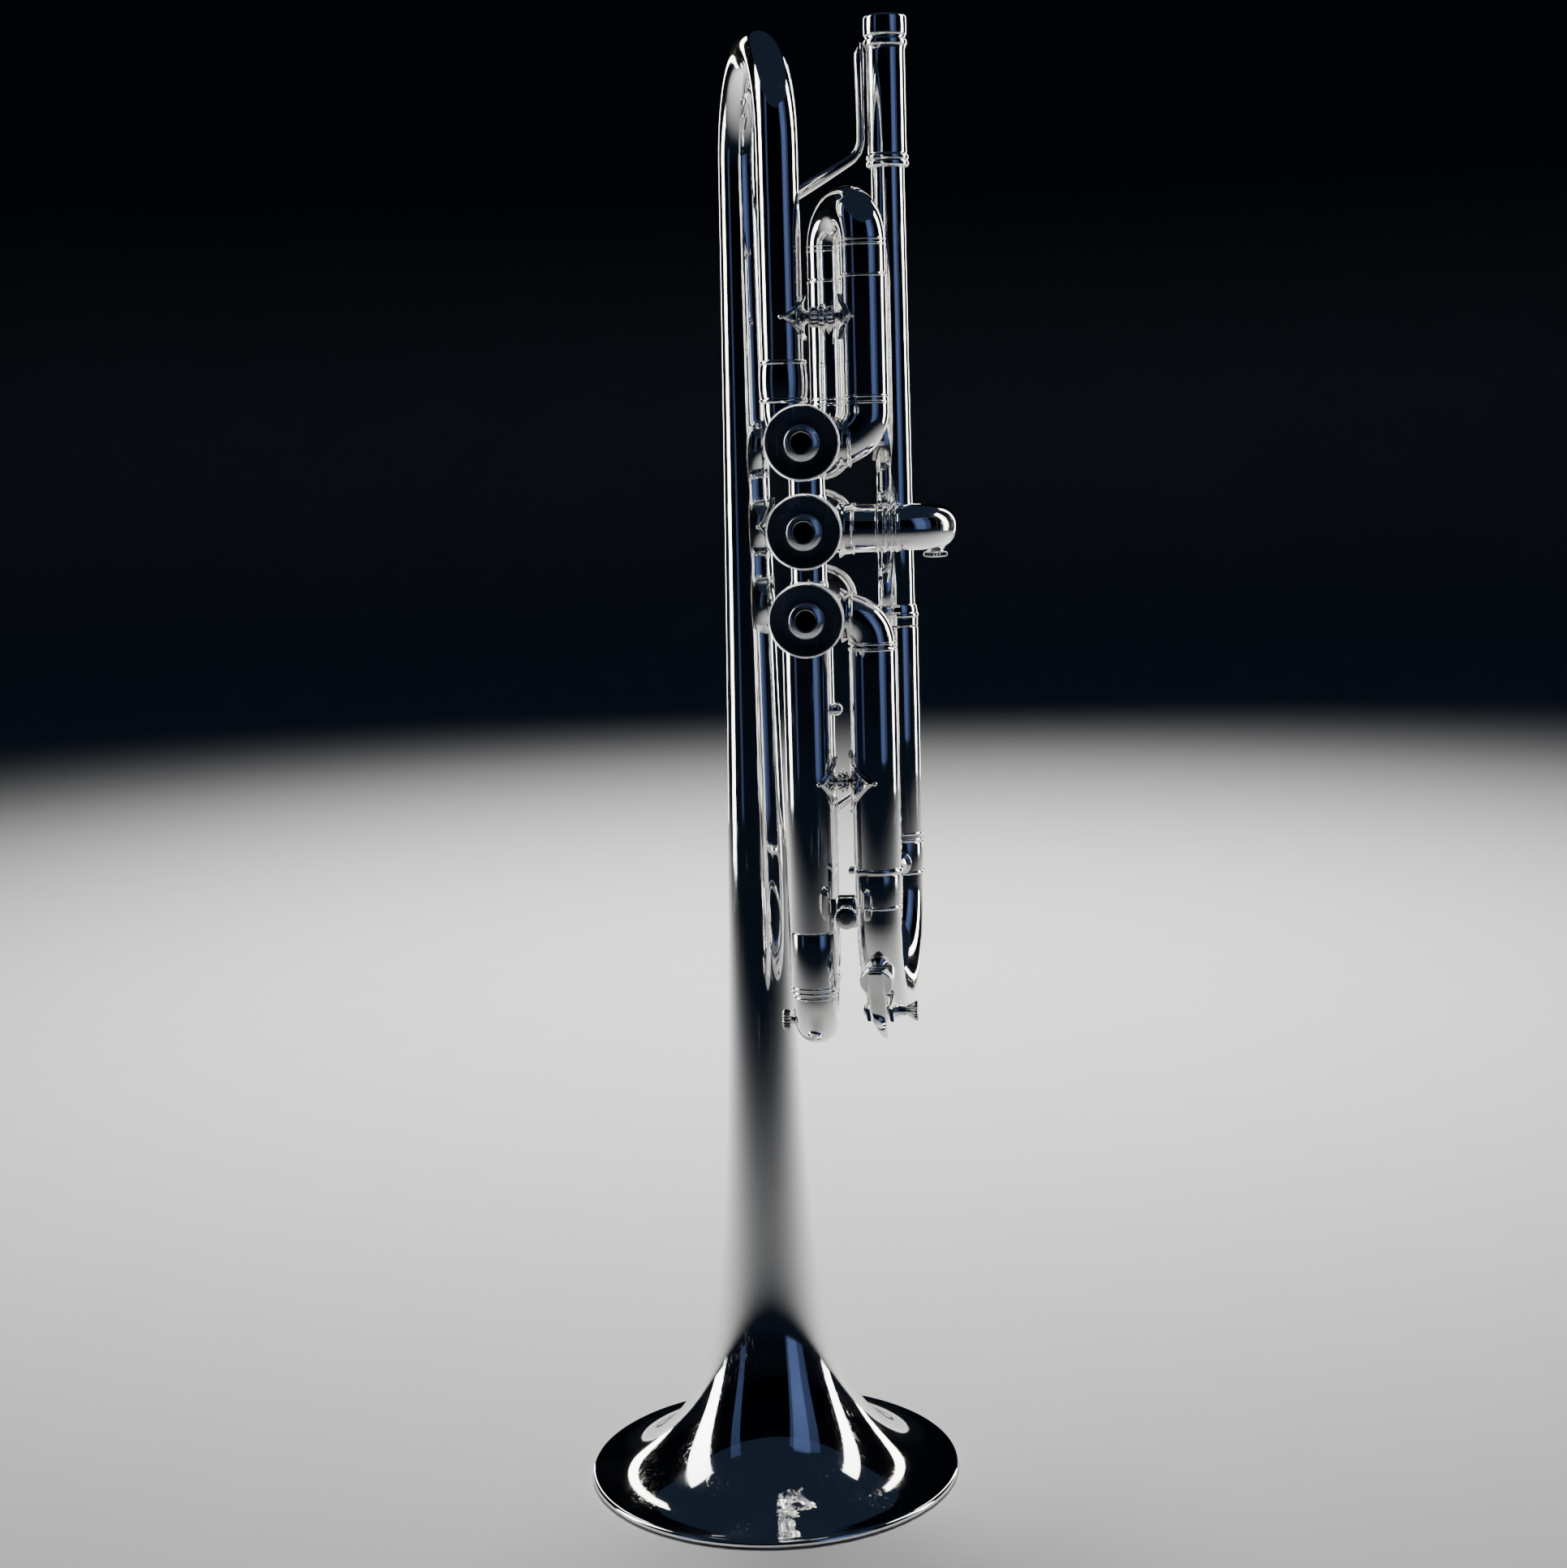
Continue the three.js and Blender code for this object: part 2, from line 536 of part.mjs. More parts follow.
function addWaterKey() {
  const k = WATER_KEY;
  const normal = onBow(0, 0)[1].clone().cross(Z).normalize();
  if (normal.x < 0) normal.negate();
  const [pin] = onBow(k.pinAngle, k.pinHeight);
  const alongPin = (profile, sides) => placed(lathe(profile, sides), pin, normal);

  const [cupAt, cupOut] = onBow(k.cupAngle, 0);
  const cup = placed(lathe([
    [4.2, 7.8], [5.1, 7.8], [5.1, 12.4], [4.2, 13.3], [0, 13.3], [0, 12.2], [4.2, 12.2], [4.2, 7.8],
  ], 12), cupAt, cupOut);
  const bar = acrossBow([
    [20, 12.8], [20, 14.6], [32, k.leverTop], [46, k.leverTop], [k.tailAngle, 14], [k.tailAngle, 12.4],
    [46, 12.6], [32, 12.6],
  ], k.width);
  const hub = alongPin(rodProfile(2.6, -k.width / 2, k.width / 2), 10);
  const pinHole = alongPin(rodProfile(1.5, -8, 8), 8);
  const lever = solid(joined(cup, bar, hub)).subtract(solid(pinHole));
  add('water_key_lever', geometryOf(lever));
  addTurned('water_key_cork', rodProfile(3.8, 7.5, 11.9), cupAt, cupOut, { sides: 12, material: CORK() });

  const [inside, outside] = [k.width / 2 + GAP, k.width / 2 + GAP + 1.3];
  const [tangentLow, tangentHigh] = [k.pinAngle - 4, k.pinAngle + 4];
  const block = acrossBow([
    [tangentLow, 6.95], [tangentHigh, 6.95], [tangentHigh, 13.4], [tangentLow, 13.4],
  ], 2 * outside);
  const room = acrossBow([
    [k.pinAngle - 9, 8.2], [k.pinAngle + 9, 8.2], [k.pinAngle + 9, 16], [k.pinAngle - 9, 16],
  ], 2 * inside);
  add('water_key_saddle', cutBy(block, room, pinHole));

  addTurned('water_key_screw', [
    [0, -outside - 0.4], [1.2, -outside - 0.4], [1.2, outside + GAP], [1.9, outside + GAP],
    [1.7, outside + 4], [3, outside + 6.4], [3, outside + 7.4], [0, outside + 7.6],
  ], pin, normal, { sides: 10 });
}

// ---------------------------------------------------------------- braces and fittings

/** S-shaped brace: a foot rod along the bell, a slanting run, a foot rod along the tube. */
function addSBrace(name, corners) {
  add(name, pipe(corners, 8, BRACE_ROD, 0, { steps: 3, sides: 8 }));
}

/** Short turned brace along X with a diamond flange against each tube. */
function addDiamondBrace(name, from, to, at, diamond, bead) {
  const middle = (from + to) / 2;
  const flange = 0.9;
  const rod = placed(lathe([
    [0, from + flange / 2], [1.8, from + flange / 2], [1.8, middle - 1.6], [bead, middle - 0.8],
    [bead, middle + 0.8], [1.8, middle + 1.6], [1.8, to - flange / 2], [0, to - flange / 2],
  ], 10), at, X);
  const plate = (x) => placed(
    new THREE.CylinderGeometry(diamond, diamond, flange, 4), vec(x, at.y, at.z), X,
  );
  add(name, joined(rod, plate(from + flange / 2), plate(to - flange / 2)));
}

/** Lyre socket on the third slide's lower tube, with a thumb screw in its front wall. */
function addLyreHolder() {
  const [left, right, front, back, low, high] = [27.9, 34.3, -72.8, -66.4, 198.5, 207.5];
  const wall = 0.9;
  const screwAt = vec((left + right) / 2, 0, 202);
  const block = box(vec(left, front, low), vec(right, back, high));
  const foot = box(vec(26.4, back - 1.8, low + 1), vec(left + wall, back, high - 1));
  const socket = box(vec(left + wall, front + wall, low - 1), vec(right - wall, back - wall, high + 1));
  const hole = placed(lathe(rodProfile(1.6, front - 1, front + wall + 0.5), 10), screwAt, Y);
  add('lyre_holder', cutBy(joined(block, foot), socket, hole));
  addTurned('lyre_screw', [
    [0, front - 3.6], [3.1, front - 3.6], [3.5, front - 3], [3.5, front - 1], [2.4, front - GAP],
    [1.2, front - GAP], [1.2, front + 0.8], [0, front + 0.8],
  ], screwAt, Y, { sides: 12 });
}

function addBraces() {
  const [pipeX, pipeY] = TUNING.far;
  const rod = GAP + BRACE_ROD;
  const receiverSide = pipeX - RECEIVER.radius - 0.1 - rod;
  const tubeSide = pipeX - TUNING.farTube - rod;
  addSBrace('rear_brace', [
    vec(6.7 + rod, 0, 371), vec(6.3 + rod, 0, 412),
    vec(receiverSide, pipeY, 429), vec(receiverSide, pipeY, 461),
  ]);
  addSBrace('front_brace', [
    vec(10.95 + rod, 0, 168), vec(9.7 + rod, 0, 214),
    vec(tubeSide, pipeY, 232), vec(tubeSide, pipeY, 262),
  ]);
  addDiamondBrace(
    'bell_slide_brace', TAIL_X + 6.05 + GAP, FIRST.near[0] - FIRST.tube - GAP, vec(0, LOW, 375.7), 6.5, 3.9,
  );
  addDiamondBrace(
    'slide_tube_brace', THIRD.x + THIRD.tube + GAP, TUNING.near[0] - TUNING.nearTube - GAP,
    vec(0, LOW, 240.5), 9, 3.9,
  );
  addDiamondBrace(
    'bell_valve_brace', 7.7 + GAP, VALVE_X - CASING.radius - GAP, vec(0, 0, VALVE_Z[1]), 7.5, 1.9,
  );
  addDiamondBrace(
    'leadpipe_valve_brace', VALVE_X + CASING.radius + GAP, pipeX - LEADPIPE.wide - GAP,
    vec(0, pipeY, VALVE_Z[0]), 5, 2.8,
  );
}

// ---------------------------------------------------------------- the whole trumpet

addBell();
addLeadpipe();
addFingerHook();

const UP_LEFT = vec(-1, 0, 1);
const UP_RIGHT = vec(1, 0, 1);
const DOWN = Z.clone().negate();
addValve(0, [
  { y: LOW, towards: UP_LEFT }, { y: LOW, towards: X },
  { y: FIRST.far[1], towards: UP_RIGHT }, { y: CROSSOVER_Y, towards: DOWN },
]);
addValve(1, [
  { y: CROSSOVER_Y, towards: Z }, { y: LOW, towards: X },
  { y: HIGH, towards: X }, { y: CROSSOVER_Y, towards: DOWN },
]);
addValve(2, [
  { y: CROSSOVER_Y, towards: Z }, { y: LOW, towards: X },
  { y: HIGH, towards: DOWN }, { y: LOW, towards: DOWN },
]);
addCrossover('crossover_tube_12', 0, 1);
addCrossover('crossover_tube_23', 1, 2);

addFirstSlide();
addSecondSlide();
addThirdSlide();
addTuningSlide();
addWaterKey();
addBraces();
addLyreHolder();

const bounds = new THREE.Box3().setFromObject(trumpet);
const middle = bounds.getCenter(new THREE.Vector3());
trumpet.position.set(-middle.x, -middle.y, -bounds.min.z);

const root = new THREE.Group();
root.name = 'trumpet';
root.add(trumpet);
export default root;
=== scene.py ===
"""Silver-plated trumpet standing on its bell rim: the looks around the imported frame.

Lengths are millimetres, measured from the bell's axis and the floor, +Z up. MM turns them into
metres, and ORIGIN moves them to the row frame.
"""

import math

import bpy
import numpy as np
from mathutils import Matrix, Vector


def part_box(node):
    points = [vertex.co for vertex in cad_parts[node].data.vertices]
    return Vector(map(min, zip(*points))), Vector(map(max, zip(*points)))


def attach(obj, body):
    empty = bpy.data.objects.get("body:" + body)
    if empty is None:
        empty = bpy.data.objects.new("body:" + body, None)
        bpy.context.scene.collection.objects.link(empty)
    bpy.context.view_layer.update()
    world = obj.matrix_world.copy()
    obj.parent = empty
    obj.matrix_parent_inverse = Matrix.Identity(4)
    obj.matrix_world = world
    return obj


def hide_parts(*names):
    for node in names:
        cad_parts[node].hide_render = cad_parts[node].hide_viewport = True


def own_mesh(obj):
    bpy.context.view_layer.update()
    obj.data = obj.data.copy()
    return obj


MM = 0.001
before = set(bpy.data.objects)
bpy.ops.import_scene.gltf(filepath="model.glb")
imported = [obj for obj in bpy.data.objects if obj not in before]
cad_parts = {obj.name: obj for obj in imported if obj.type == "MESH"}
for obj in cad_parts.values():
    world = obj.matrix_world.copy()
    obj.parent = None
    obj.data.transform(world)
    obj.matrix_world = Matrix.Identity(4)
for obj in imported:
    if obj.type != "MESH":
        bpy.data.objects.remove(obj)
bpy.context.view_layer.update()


def centre(node):
    low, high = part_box(node)
    return (low + high) / 2


ORIGIN = Vector((centre("bell").x, centre("bell").y, 0)) / MM


def middle(node):
    """Centre of a CAD node, in millimetres from the bell's axis."""
    return centre(node) / MM - ORIGIN


X, Y, Z = Vector((1, 0, 0)), Vector((0, 1, 0)), Vector((0, 0, 1))
UP, DOWN = Z, -Z
BODY = "trumpet_body"

LOW, HIGH = middle("second_slide_outer_lower").y, middle("second_slide_outer_upper").y
TAIL_X = middle("bell_tail_ferrule").x
VALVES = [middle(f"valve_casing_{n}") for n in (1, 2, 3)]
VALVE_X = VALVES[0].x
CASING = 9.5
FIRST_NEAR = Vector((40, LOW, 0))
FIRST_FAR = Vector((29.5, -43, 0))
THIRD_X = middle("third_slide_sleeves").x
TUNING_NEAR = middle("tuning_outer_tube_lower").xy.to_3d()
TUNING_FAR = middle("tuning_outer_tube_upper").xy.to_3d()
SEAT = 212.6                 # top of the tuning crook's sleeves
TUNING_RISE = 44             # from there down to the corner of the tuning bow
CAP_FACE = -84.0


# ---------------------------------------------------------------- materials

def _nodes(name):
    material = bpy.data.materials.new(name)
    material.use_nodes = True
    return material, material.node_tree.nodes, material.node_tree.links


def _noise(nodes, links, scale, stretch=(1, 1, 1), turn=(0, 0, 0), detail=4.0, shift=0.0):
    """Noise over the object's own coordinates, which are metres in the row frame."""
    place = nodes.new("ShaderNodeTexCoord")
    mapping = nodes.new("ShaderNodeMapping")
    mapping.inputs["Location"].default_value = (shift, 0.37 * shift, -0.61 * shift)
    mapping.inputs["Rotation"].default_value = turn
    mapping.inputs["Scale"].default_value = stretch
    noise = nodes.new("ShaderNodeTexNoise")
    noise.inputs["Scale"].default_value = scale
    noise.inputs["Detail"].default_value = detail
    links.new(place.outputs["Object"], mapping.inputs["Vector"])
    links.new(mapping.outputs["Vector"], noise.inputs["Vector"])
    return noise.outputs["Fac"]


def _ramp(nodes, links, source, stops):
    ramp = nodes.new("ShaderNodeValToRGB")
    points = ramp.color_ramp.elements
    while len(points) < len(stops):
        points.new(0.5)
    for point, (at, value) in zip(points, stops):
        point.position = at
        point.color = (value, value, value, 1) if isinstance(value, float) else (*value, 1)
    links.new(source, ramp.inputs["Fac"])
    return ramp.outputs["Color"]


def _math(nodes, links, operation, a, b):
    node = nodes.new("ShaderNodeMath")
    node.operation = operation
    for socket, value in zip(node.inputs, (a, b)):
        if isinstance(value, (int, float)):
            socket.default_value = value
        else:
            links.new(value, socket)
    return node.outputs[0]


def plated(name, clean, worn, rough=(0.04, 0.17), scratch=0.22, seed=0.0, spun=0.0):
    """Polished plating: soft tarnish clouds, fingermark haze, and fine crossed polishing lines."""
    material, nodes, links = _nodes(name)
    shader = nodes["Principled BSDF"]
    shader.inputs["Metallic"].default_value = 1.0
    if spun:
        tangent = nodes.new("ShaderNodeTangent")
        tangent.direction_type, tangent.axis = "RADIAL", "Y"
        shader.inputs["Anisotropic"].default_value = spun
        links.new(tangent.outputs["Tangent"], shader.inputs["Tangent"])
    clouds = _noise(nodes, links, 38, detail=6, shift=seed)
    links.new(_ramp(nodes, links, clouds, [(0.3, clean), (0.62, clean), (0.86, worn)]),
              shader.inputs["Base Color"])
    haze = _ramp(nodes, links, _noise(nodes, links, 85, detail=8, shift=seed + 3),
                 [(0.35, rough[0]), (0.6, rough[0] * 1.5), (0.85, rough[1])])
    lines = None
    for k, turn in enumerate(((0.5, 0.2, 0.3), (-0.7, 0.4, 1.1), (0.2, -0.9, 2.0))):
        fine = _noise(nodes, links, 900, (1, 1, 0.035), turn, 2.0, seed + k)
        mark = _ramp(nodes, links, fine, [(0.62, 0.0), (0.68, 1.0), (0.74, 0.0)])
        lines = mark if lines is None else _math(nodes, links, "ADD", lines, mark)
    patches = _ramp(nodes, links, _noise(nodes, links, 55, detail=2, shift=seed + 7),
                    [(0.45, 0.0), (0.7, 1.0)])
    lines = _math(nodes, links, "MULTIPLY", lines, patches)
    links.new(_math(nodes, links, "ADD", haze, _math(nodes, links, "MULTIPLY", lines, scratch)),
              shader.inputs["Roughness"])
    bump = nodes.new("ShaderNodeBump")
    bump.inputs["Strength"].default_value = 0.12
    bump.inputs["Distance"].default_value = 0.00003
    links.new(lines, bump.inputs["Height"])
    links.new(bump.outputs["Normal"], shader.inputs["Normal"])
    return material


def dull(name, colours, scale, rough, depth, stretch=(1, 1, 1), metallic=0.0, coat=0.0):
    """A grained material: its colour, roughness and relief all follow the same grain."""
    material, nodes, links = _nodes(name)
    shader = nodes["Principled BSDF"]
    shader.inputs["Metallic"].default_value = metallic
    shader.inputs["Coat Weight"].default_value = coat
    shader.inputs["Coat Roughness"].default_value = 0.06
    grain = _noise(nodes, links, scale, stretch, detail=8)
    steps = [(0.25 + 0.5 * k / (len(colours) - 1), c) for k, c in enumerate(colours)]
    links.new(_ramp(nodes, links, grain, steps), shader.inputs["Base Color"])
    links.new(_ramp(nodes, links, grain, [(0.3, rough[0]), (0.7, rough[1])]),
              shader.inputs["Roughness"])
    bump = nodes.new("ShaderNodeBump")
    bump.inputs["Strength"].default_value = 0.4
    bump.inputs["Distance"].default_value = depth * MM
    links.new(grain, bump.inputs["Height"])
    links.new(bump.outputs["Normal"], shader.inputs["Normal"])
    return material


SILVER = plated("silver_tubing", (0.93, 0.935, 0.94), (0.90, 0.85, 0.74))
BELL = plated("silver_bell", (0.92, 0.93, 0.94), (0.89, 0.86, 0.78), (0.035, 0.13), 0.16, 11.0)
CAPS = plated("silver_caps", (0.90, 0.91, 0.93), (0.85, 0.80, 0.70), (0.13, 0.24), 0.16, 23.0, 0.7)
FITTINGS = plated("silver_fittings", (0.94, 0.93, 0.90), (0.84, 0.76, 0.60), (0.05, 0.2), 0.1, 31.0)
WORN = plated("silver_sleeves", (0.91, 0.92, 0.93), (0.88, 0.82, 0.70), (0.07, 0.2), 0.22, 41.0)
NICKEL = plated("nickel_legs", (0.74, 0.73, 0.70), (0.66, 0.62, 0.54), (0.12, 0.3), 0.2, 53.0)
STEEL = dull("spring_steel", [(0.28, 0.29, 0.31), (0.5, 0.5, 0.52)], 700, (0.22, 0.42), 0.02,
             metallic=1.0)
CORK = dull("cork", [(0.33, 0.19, 0.09), (0.62, 0.42, 0.24), (0.78, 0.58, 0.37)], 900,
            (0.75, 0.95), 0.12)
FELT = dull("felt", [(0.05, 0.05, 0.055), (0.13, 0.13, 0.14)], 2600, (0.9, 1.0), 0.15)
PEARL = dull("pearl", [(0.86, 0.83, 0.80), (0.93, 0.92, 0.88), (0.80, 0.87, 0.88)], 260,
             (0.12, 0.25), 0.01, (1, 1, 2.5), coat=0.8)


# ---------------------------------------------------------------- mesh making

def mesh_object(name, points, faces, material, body, replaced=(), sharp=32):
    """Makes a smooth-shaded piece from points in millimetres, and lets it ride on its body."""
    mesh = bpy.data.meshes.new(name)
    mesh.from_pydata([tuple((ORIGIN + Vector(p)) * MM) for p in points], [], faces)
    mesh.validate()
    mesh.polygons.foreach_set("use_smooth", [True] * len(mesh.polygons))
    mesh.set_sharp_from_angle(angle=math.radians(sharp))
    mesh.materials.append(material)
    piece = bpy.data.objects.new(name, mesh)
    bpy.context.scene.collection.objects.link(piece)
    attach(piece, body)
    if replaced:
        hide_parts(*([replaced] if isinstance(replaced, str) else replaced))
    return piece


def skin(rings, closed, sides):
    """Points and faces through rings of (centre, u, v, radius); a ring of no radius is one point."""
    points, faces, first = [], [], []
    for middle_point, u, v, radius in rings:
        first.append(len(points))
        if not callable(radius) and radius < 1e-6:
            points.append(middle_point.copy())
            continue
        for k in range(sides):
            a = 2 * math.pi * k / sides
            r = radius(a) if callable(radius) else radius
            points.append(middle_point + u * (r * math.cos(a)) + v * (r * math.sin(a)))
    first.append(len(points))
    count = len(rings)
    for i in range(count if closed else count - 1):
        j = (i + 1) % count
        a, b = first[i], first[j]
        a_many, b_many = first[i + 1] - a > 1, first[j + 1] - b > 1
        for k in range(sides):
            n = (k + 1) % sides
            if a_many and b_many:
                faces.append((a + k, a + n, b + n, b + k))
            elif b_many:
                faces.append((a, b + n, b + k))
            elif a_many:
                faces.append((a + k, a + n, b))
    return points, faces


def eased(profile, closed, by=0.25, steps=3):
    """Rounds a profile's corners by up to `by`, except where it meets the axis."""
    count, out = len(profile), []
    for i, (r, h) in enumerate(profile):
        edge = not closed and i in (0, count - 1)
        if edge or r < 1e-6:
            out.append((r, h))
            continue
        here = Vector((r, h))
        before, after = Vector(profile[i - 1]), Vector(profile[(i + 1) % count])
        a, b = before - here, after - here
        if a.length < 1e-6 or b.length < 1e-6 or a.angle(b) > math.radians(172):
            out.append((r, h))
            continue
        p = here + a.normalized() * min(by, a.length * 0.42)
        q = here + b.normalized() * min(by, b.length * 0.42)
        for k in range(steps + 1):
            t = k / steps
            spot = p * (1 - t) ** 2 + here * (2 * t * (1 - t)) + q * t * t
            out.append((spot.x, spot.y))
    return out


def across(along):
    """Two directions square to `along` and to each other."""
    helper = Z if abs(along.z) < 0.9 else Y
    u = helper.cross(along).normalized()
    return u, along.cross(u).normalized()


def turned(name, profile, at, along, material, body=BODY, replaced=(), sides=96, by=0.25,
           knurl=None):
    """A turned piece. A profile that leaves the axis alone is a closed hollow section.

    knurl is (from, to, smallest radius, teeth, depth): coin edging on that stretch.
    """
    along = Vector(along).normalized()
    u, v = across(along)
    closed = profile[0][0] > 1e-6
    rings = []
    for r, h in eased(profile, closed, by):
        radius = r
        if knurl and knurl[0] <= h <= knurl[1] and r >= knurl[2]:
            teeth, depth = knurl[3], knurl[4]

            def radius(a, r=r, teeth=teeth, depth=depth):
                return r - depth * (0.5 - 0.5 * math.cos(teeth * a))
        rings.append((Vector(at) + along * h, u, v, radius))
    points, faces = skin(rings, closed, sides)
    return mesh_object(name, points, faces, material, body, replaced)


def route(corners, bend, turn_step=4.0, straight_step=25.0):
    """Points and directions along corners, with round bends."""
    corners = [Vector(c) for c in corners]
    stations = [(corners[0], (corners[1] - corners[0]).normalized())]

    def straight(to, direction):
        start = stations[-1][0]
        length = (to - start).length
        parts = max(1, math.ceil(length / straight_step))
        if length > 0.02:
            for k in range(1, parts + 1):
                stations.append((start.lerp(to, k / parts), direction))

    for i in range(1, len(corners) - 1):
        arriving = (corners[i] - corners[i - 1]).normalized()
        leaving = (corners[i + 1] - corners[i]).normalized()
        angle = arriving.angle(leaving)
        start = corners[i] - arriving * (bend * math.tan(angle / 2))
        inward = (leaving - arriving * leaving.dot(arriving)).normalized()
        straight(start, arriving)
        steps = max(2, math.ceil(math.degrees(angle) / turn_step))
        for k in range(1, steps + 1):
            a = angle * k / steps
            stations.append((start + arriving * (bend * math.sin(a)) + inward * (bend * (1 - math.cos(a))),
                             (arriving * math.cos(a) + inward * math.sin(a)).normalized()))
    straight(corners[-1], (corners[-1] - corners[-2]).normalized())
    return stations


def framed(stations):
    """Adds to each station a pair of directions across it that doesn't twist along the way."""
    u, _ = across(stations[0][1])
    out = []
    for point, direction in stations:
        u = (u - direction * u.dot(direction)).normalized()
        out.append((point, direction, u, direction.cross(u)))
    return out


def lengths(stations):
    """How far along the route each station lies."""
    total, out = 0.0, [0.0]
    for (a, _), (b, _) in zip(stations, stations[1:]):
        total += (b - a).length
        out.append(total)
    return out


def tube(name, corners, bend, outer, inner, material, body=BODY, replaced=(), sides=64):
    """A bent tube, hollow between its outer and inner radius, with eased end edges."""
    stations = framed(route(corners, bend))
    rings = []
    last = len(stations) - 1
    lip = min(0.14, (outer - inner) * 0.4)
    for i, (p, d, u, v) in enumerate(stations):
        if i == 0:
            rings += [(p, u, v, outer - lip), (p + d * lip, u, v, outer)]
        elif i == last:
            rings += [(p - d * lip, u, v, outer), (p, u, v, outer - lip)]
        else:
            rings.append((p, u, v, outer))
    rings += [(p, u, v, inner) for p, d, u, v in reversed(stations)]
    points, faces = skin(rings, True, sides)
    return mesh_object(name, points, faces, material, body, replaced, 40)


def rod(name, corners, bend, radius, material, body=BODY, replaced=(), sides=28):
    """A solid bent rod whose radius is a function of the share of its length, with round ends."""
    stations = route(corners, bend, 4.0, 2.0)
    along = lengths(stations)
    full = framed(stations)
    rings = [(full[0][0], full[0][2], full[0][3], 0.0)]
    for (p, d, u, v), s in zip(full, along):
        end = min(s, along[-1] - s)
        r = radius(s / along[-1])
        rings.append((p, u, v, r * math.sqrt(max(0.06, 1 - max(0.0, 1 - end / r) ** 2))))
    rings.append((full[-1][0], full[-1][2], full[-1][3], 0.0))
    points, faces = skin(rings, False, sides)
    return mesh_object(name, points, faces, material, body, replaced, 60)


def strap(name, stations, wide, width, thick, material, body=BODY, replaced=(), closed=False):
    """A flat strap with soft edges along stations; `wide` is the direction of its width."""
    count, points, faces = 20, [], []
    size = len(stations)
    for i, (p, d) in enumerate(stations):
        side = Vector(wide).normalized()
        up = d.cross(side).normalized()
        w, t = (width(i / (size - 1)) if callable(width) else width), thick
        for k in range(count):
            a = 2 * math.pi * k / count
            c, s = math.cos(a), math.sin(a)
            points.append(p + side * (0.5 * w * math.copysign(abs(c) ** 0.35, c))
                          + up * (0.5 * t * math.copysign(abs(s) ** 0.6, s)))
    for i in range(size if closed else size - 1):
        a, b = i * count, ((i + 1) % size) * count
        faces += [(a + k, a + (k + 1) % count, b + (k + 1) % count, b + k) for k in range(count)]
    if not closed:
        faces.append(tuple(reversed(range(count))))
        faces.append(tuple((size - 1) * count + k for k in range(count)))
    return mesh_object(name, points, faces, material, body, replaced, 50)


def rings_on(name, at, along, radius, spots, body=BODY, height=0.32, width=0.85, material=None):
    """Thin half-round wires that stand on a tube at each of `spots` along it."""
    for k, spot in enumerate(spots):
        arc = [(radius - 0.1, spot - width / 2)]
        arc += [(radius + height * math.sin(math.pi * i / 8), spot - width / 2 * math.cos(math.pi * i / 8))
                for i in range(9)]
        arc.append((radius - 0.1, spot + width / 2))
        turned(f"{name}_{k + 1}", arc, at, along, material or FITTINGS, body, by=0.0)


def diamond_flange(name, axis_at, tube_along, towards, radius, half_width, half_height, body=BODY,
                   thick=1.0):
    """A pointed plate wrapped round a tube, facing `towards`, with a ball at each side tip."""
    along, face = Vector(tube_along).normalized(), Vector(towards).normalized()
    side = along.cross(face).normalized()
    rows, cols = 18, 28
    layers = []
    for level in (0.05, thick):
        sheet = []
        for i in range(rows + 1):
            h = -1 + 2 * i / rows
            reach = 1 - abs(h)
            row = []
            for j in range(cols + 1):
                out = -1 + 2 * j / cols
                bead = 0.5 + 0.6 * math.exp(-((abs(out) - 0.86) / 0.1) ** 2)
                a = out * max(reach, 0.02) * half_width / radius
                r = radius + (level * bead if level > 0.1 else level)
                row.append(Vector(axis_at) + along * (h * half_height)
                           + face * (r * math.cos(a)) + side * (r * math.sin(a)))
            sheet.append(row)
        layers.append(sheet)
    points = [p for sheet in layers for row in sheet for p in row]
    per, stride = (rows + 1) * (cols + 1), cols + 1
    faces = []
    for i in range(rows):
        for j in range(cols):
            a = i * stride + j
            faces.append((a, a + stride, a + stride + 1, a + 1))
            faces.append((per + a, per + a + 1, per + a + stride + 1, per + a + stride))
    edge = [j for j in range(cols)] + [i * stride + cols for i in range(rows)]
    edge += [rows * stride + cols - j for j in range(cols)] + [(rows - i) * stride for i in range(rows)]
    for k, a in enumerate(edge):
        b = edge[(k + 1) % len(edge)]
        faces.append((a, b, per + b, per + a))
    mesh_object(name, points, faces, FITTINGS, body, sharp=30)
    for k, sign in enumerate((-1, 1)):
        a = sign * half_width / radius
        tip = Vector(axis_at) + face * ((radius + 0.5) * math.cos(a)) + side * ((radius + 0.5) * math.sin(a))
        ball(f"{name}_ball_{k + 1}", tip, 0.75, body)


def ball(name, at, radius, body=BODY, material=None):
    arc = [(radius * math.sin(math.pi * i / 16), -radius * math.cos(math.pi * i / 16)) for i in range(17)]
    arc[0], arc[-1] = (0.0, -radius), (0.0, radius)
    return turned(name, arc, at, UP, material or FITTINGS, body, sides=28, by=0.0)


def hollow(outer, inner, low, high):
    return [(inner, low), (outer, low), (outer, high), (inner, high)]


# ---------------------------------------------------------------- bell

def bell_radius(z):
    """Fair curve of the bell's outside between its rim and its stem."""
    known = [(56, 2.9), (48, 5.4), (40.5, 10), (34.5, 16), (30.7, 21), (24.9, 31), (21, 41), (17.6, 61),
             (14, 100), (11.5, 142), (10.5, 182), (8.8, 249), (7.4, 327), (6.1, 422.7)]
    u = np.log([h + 4 for _, h in known])
    fit = np.polyfit(u, np.log([r for r, _ in known]), 6)
    return float(np.exp(np.polyval(fit, math.log(z + 4))))


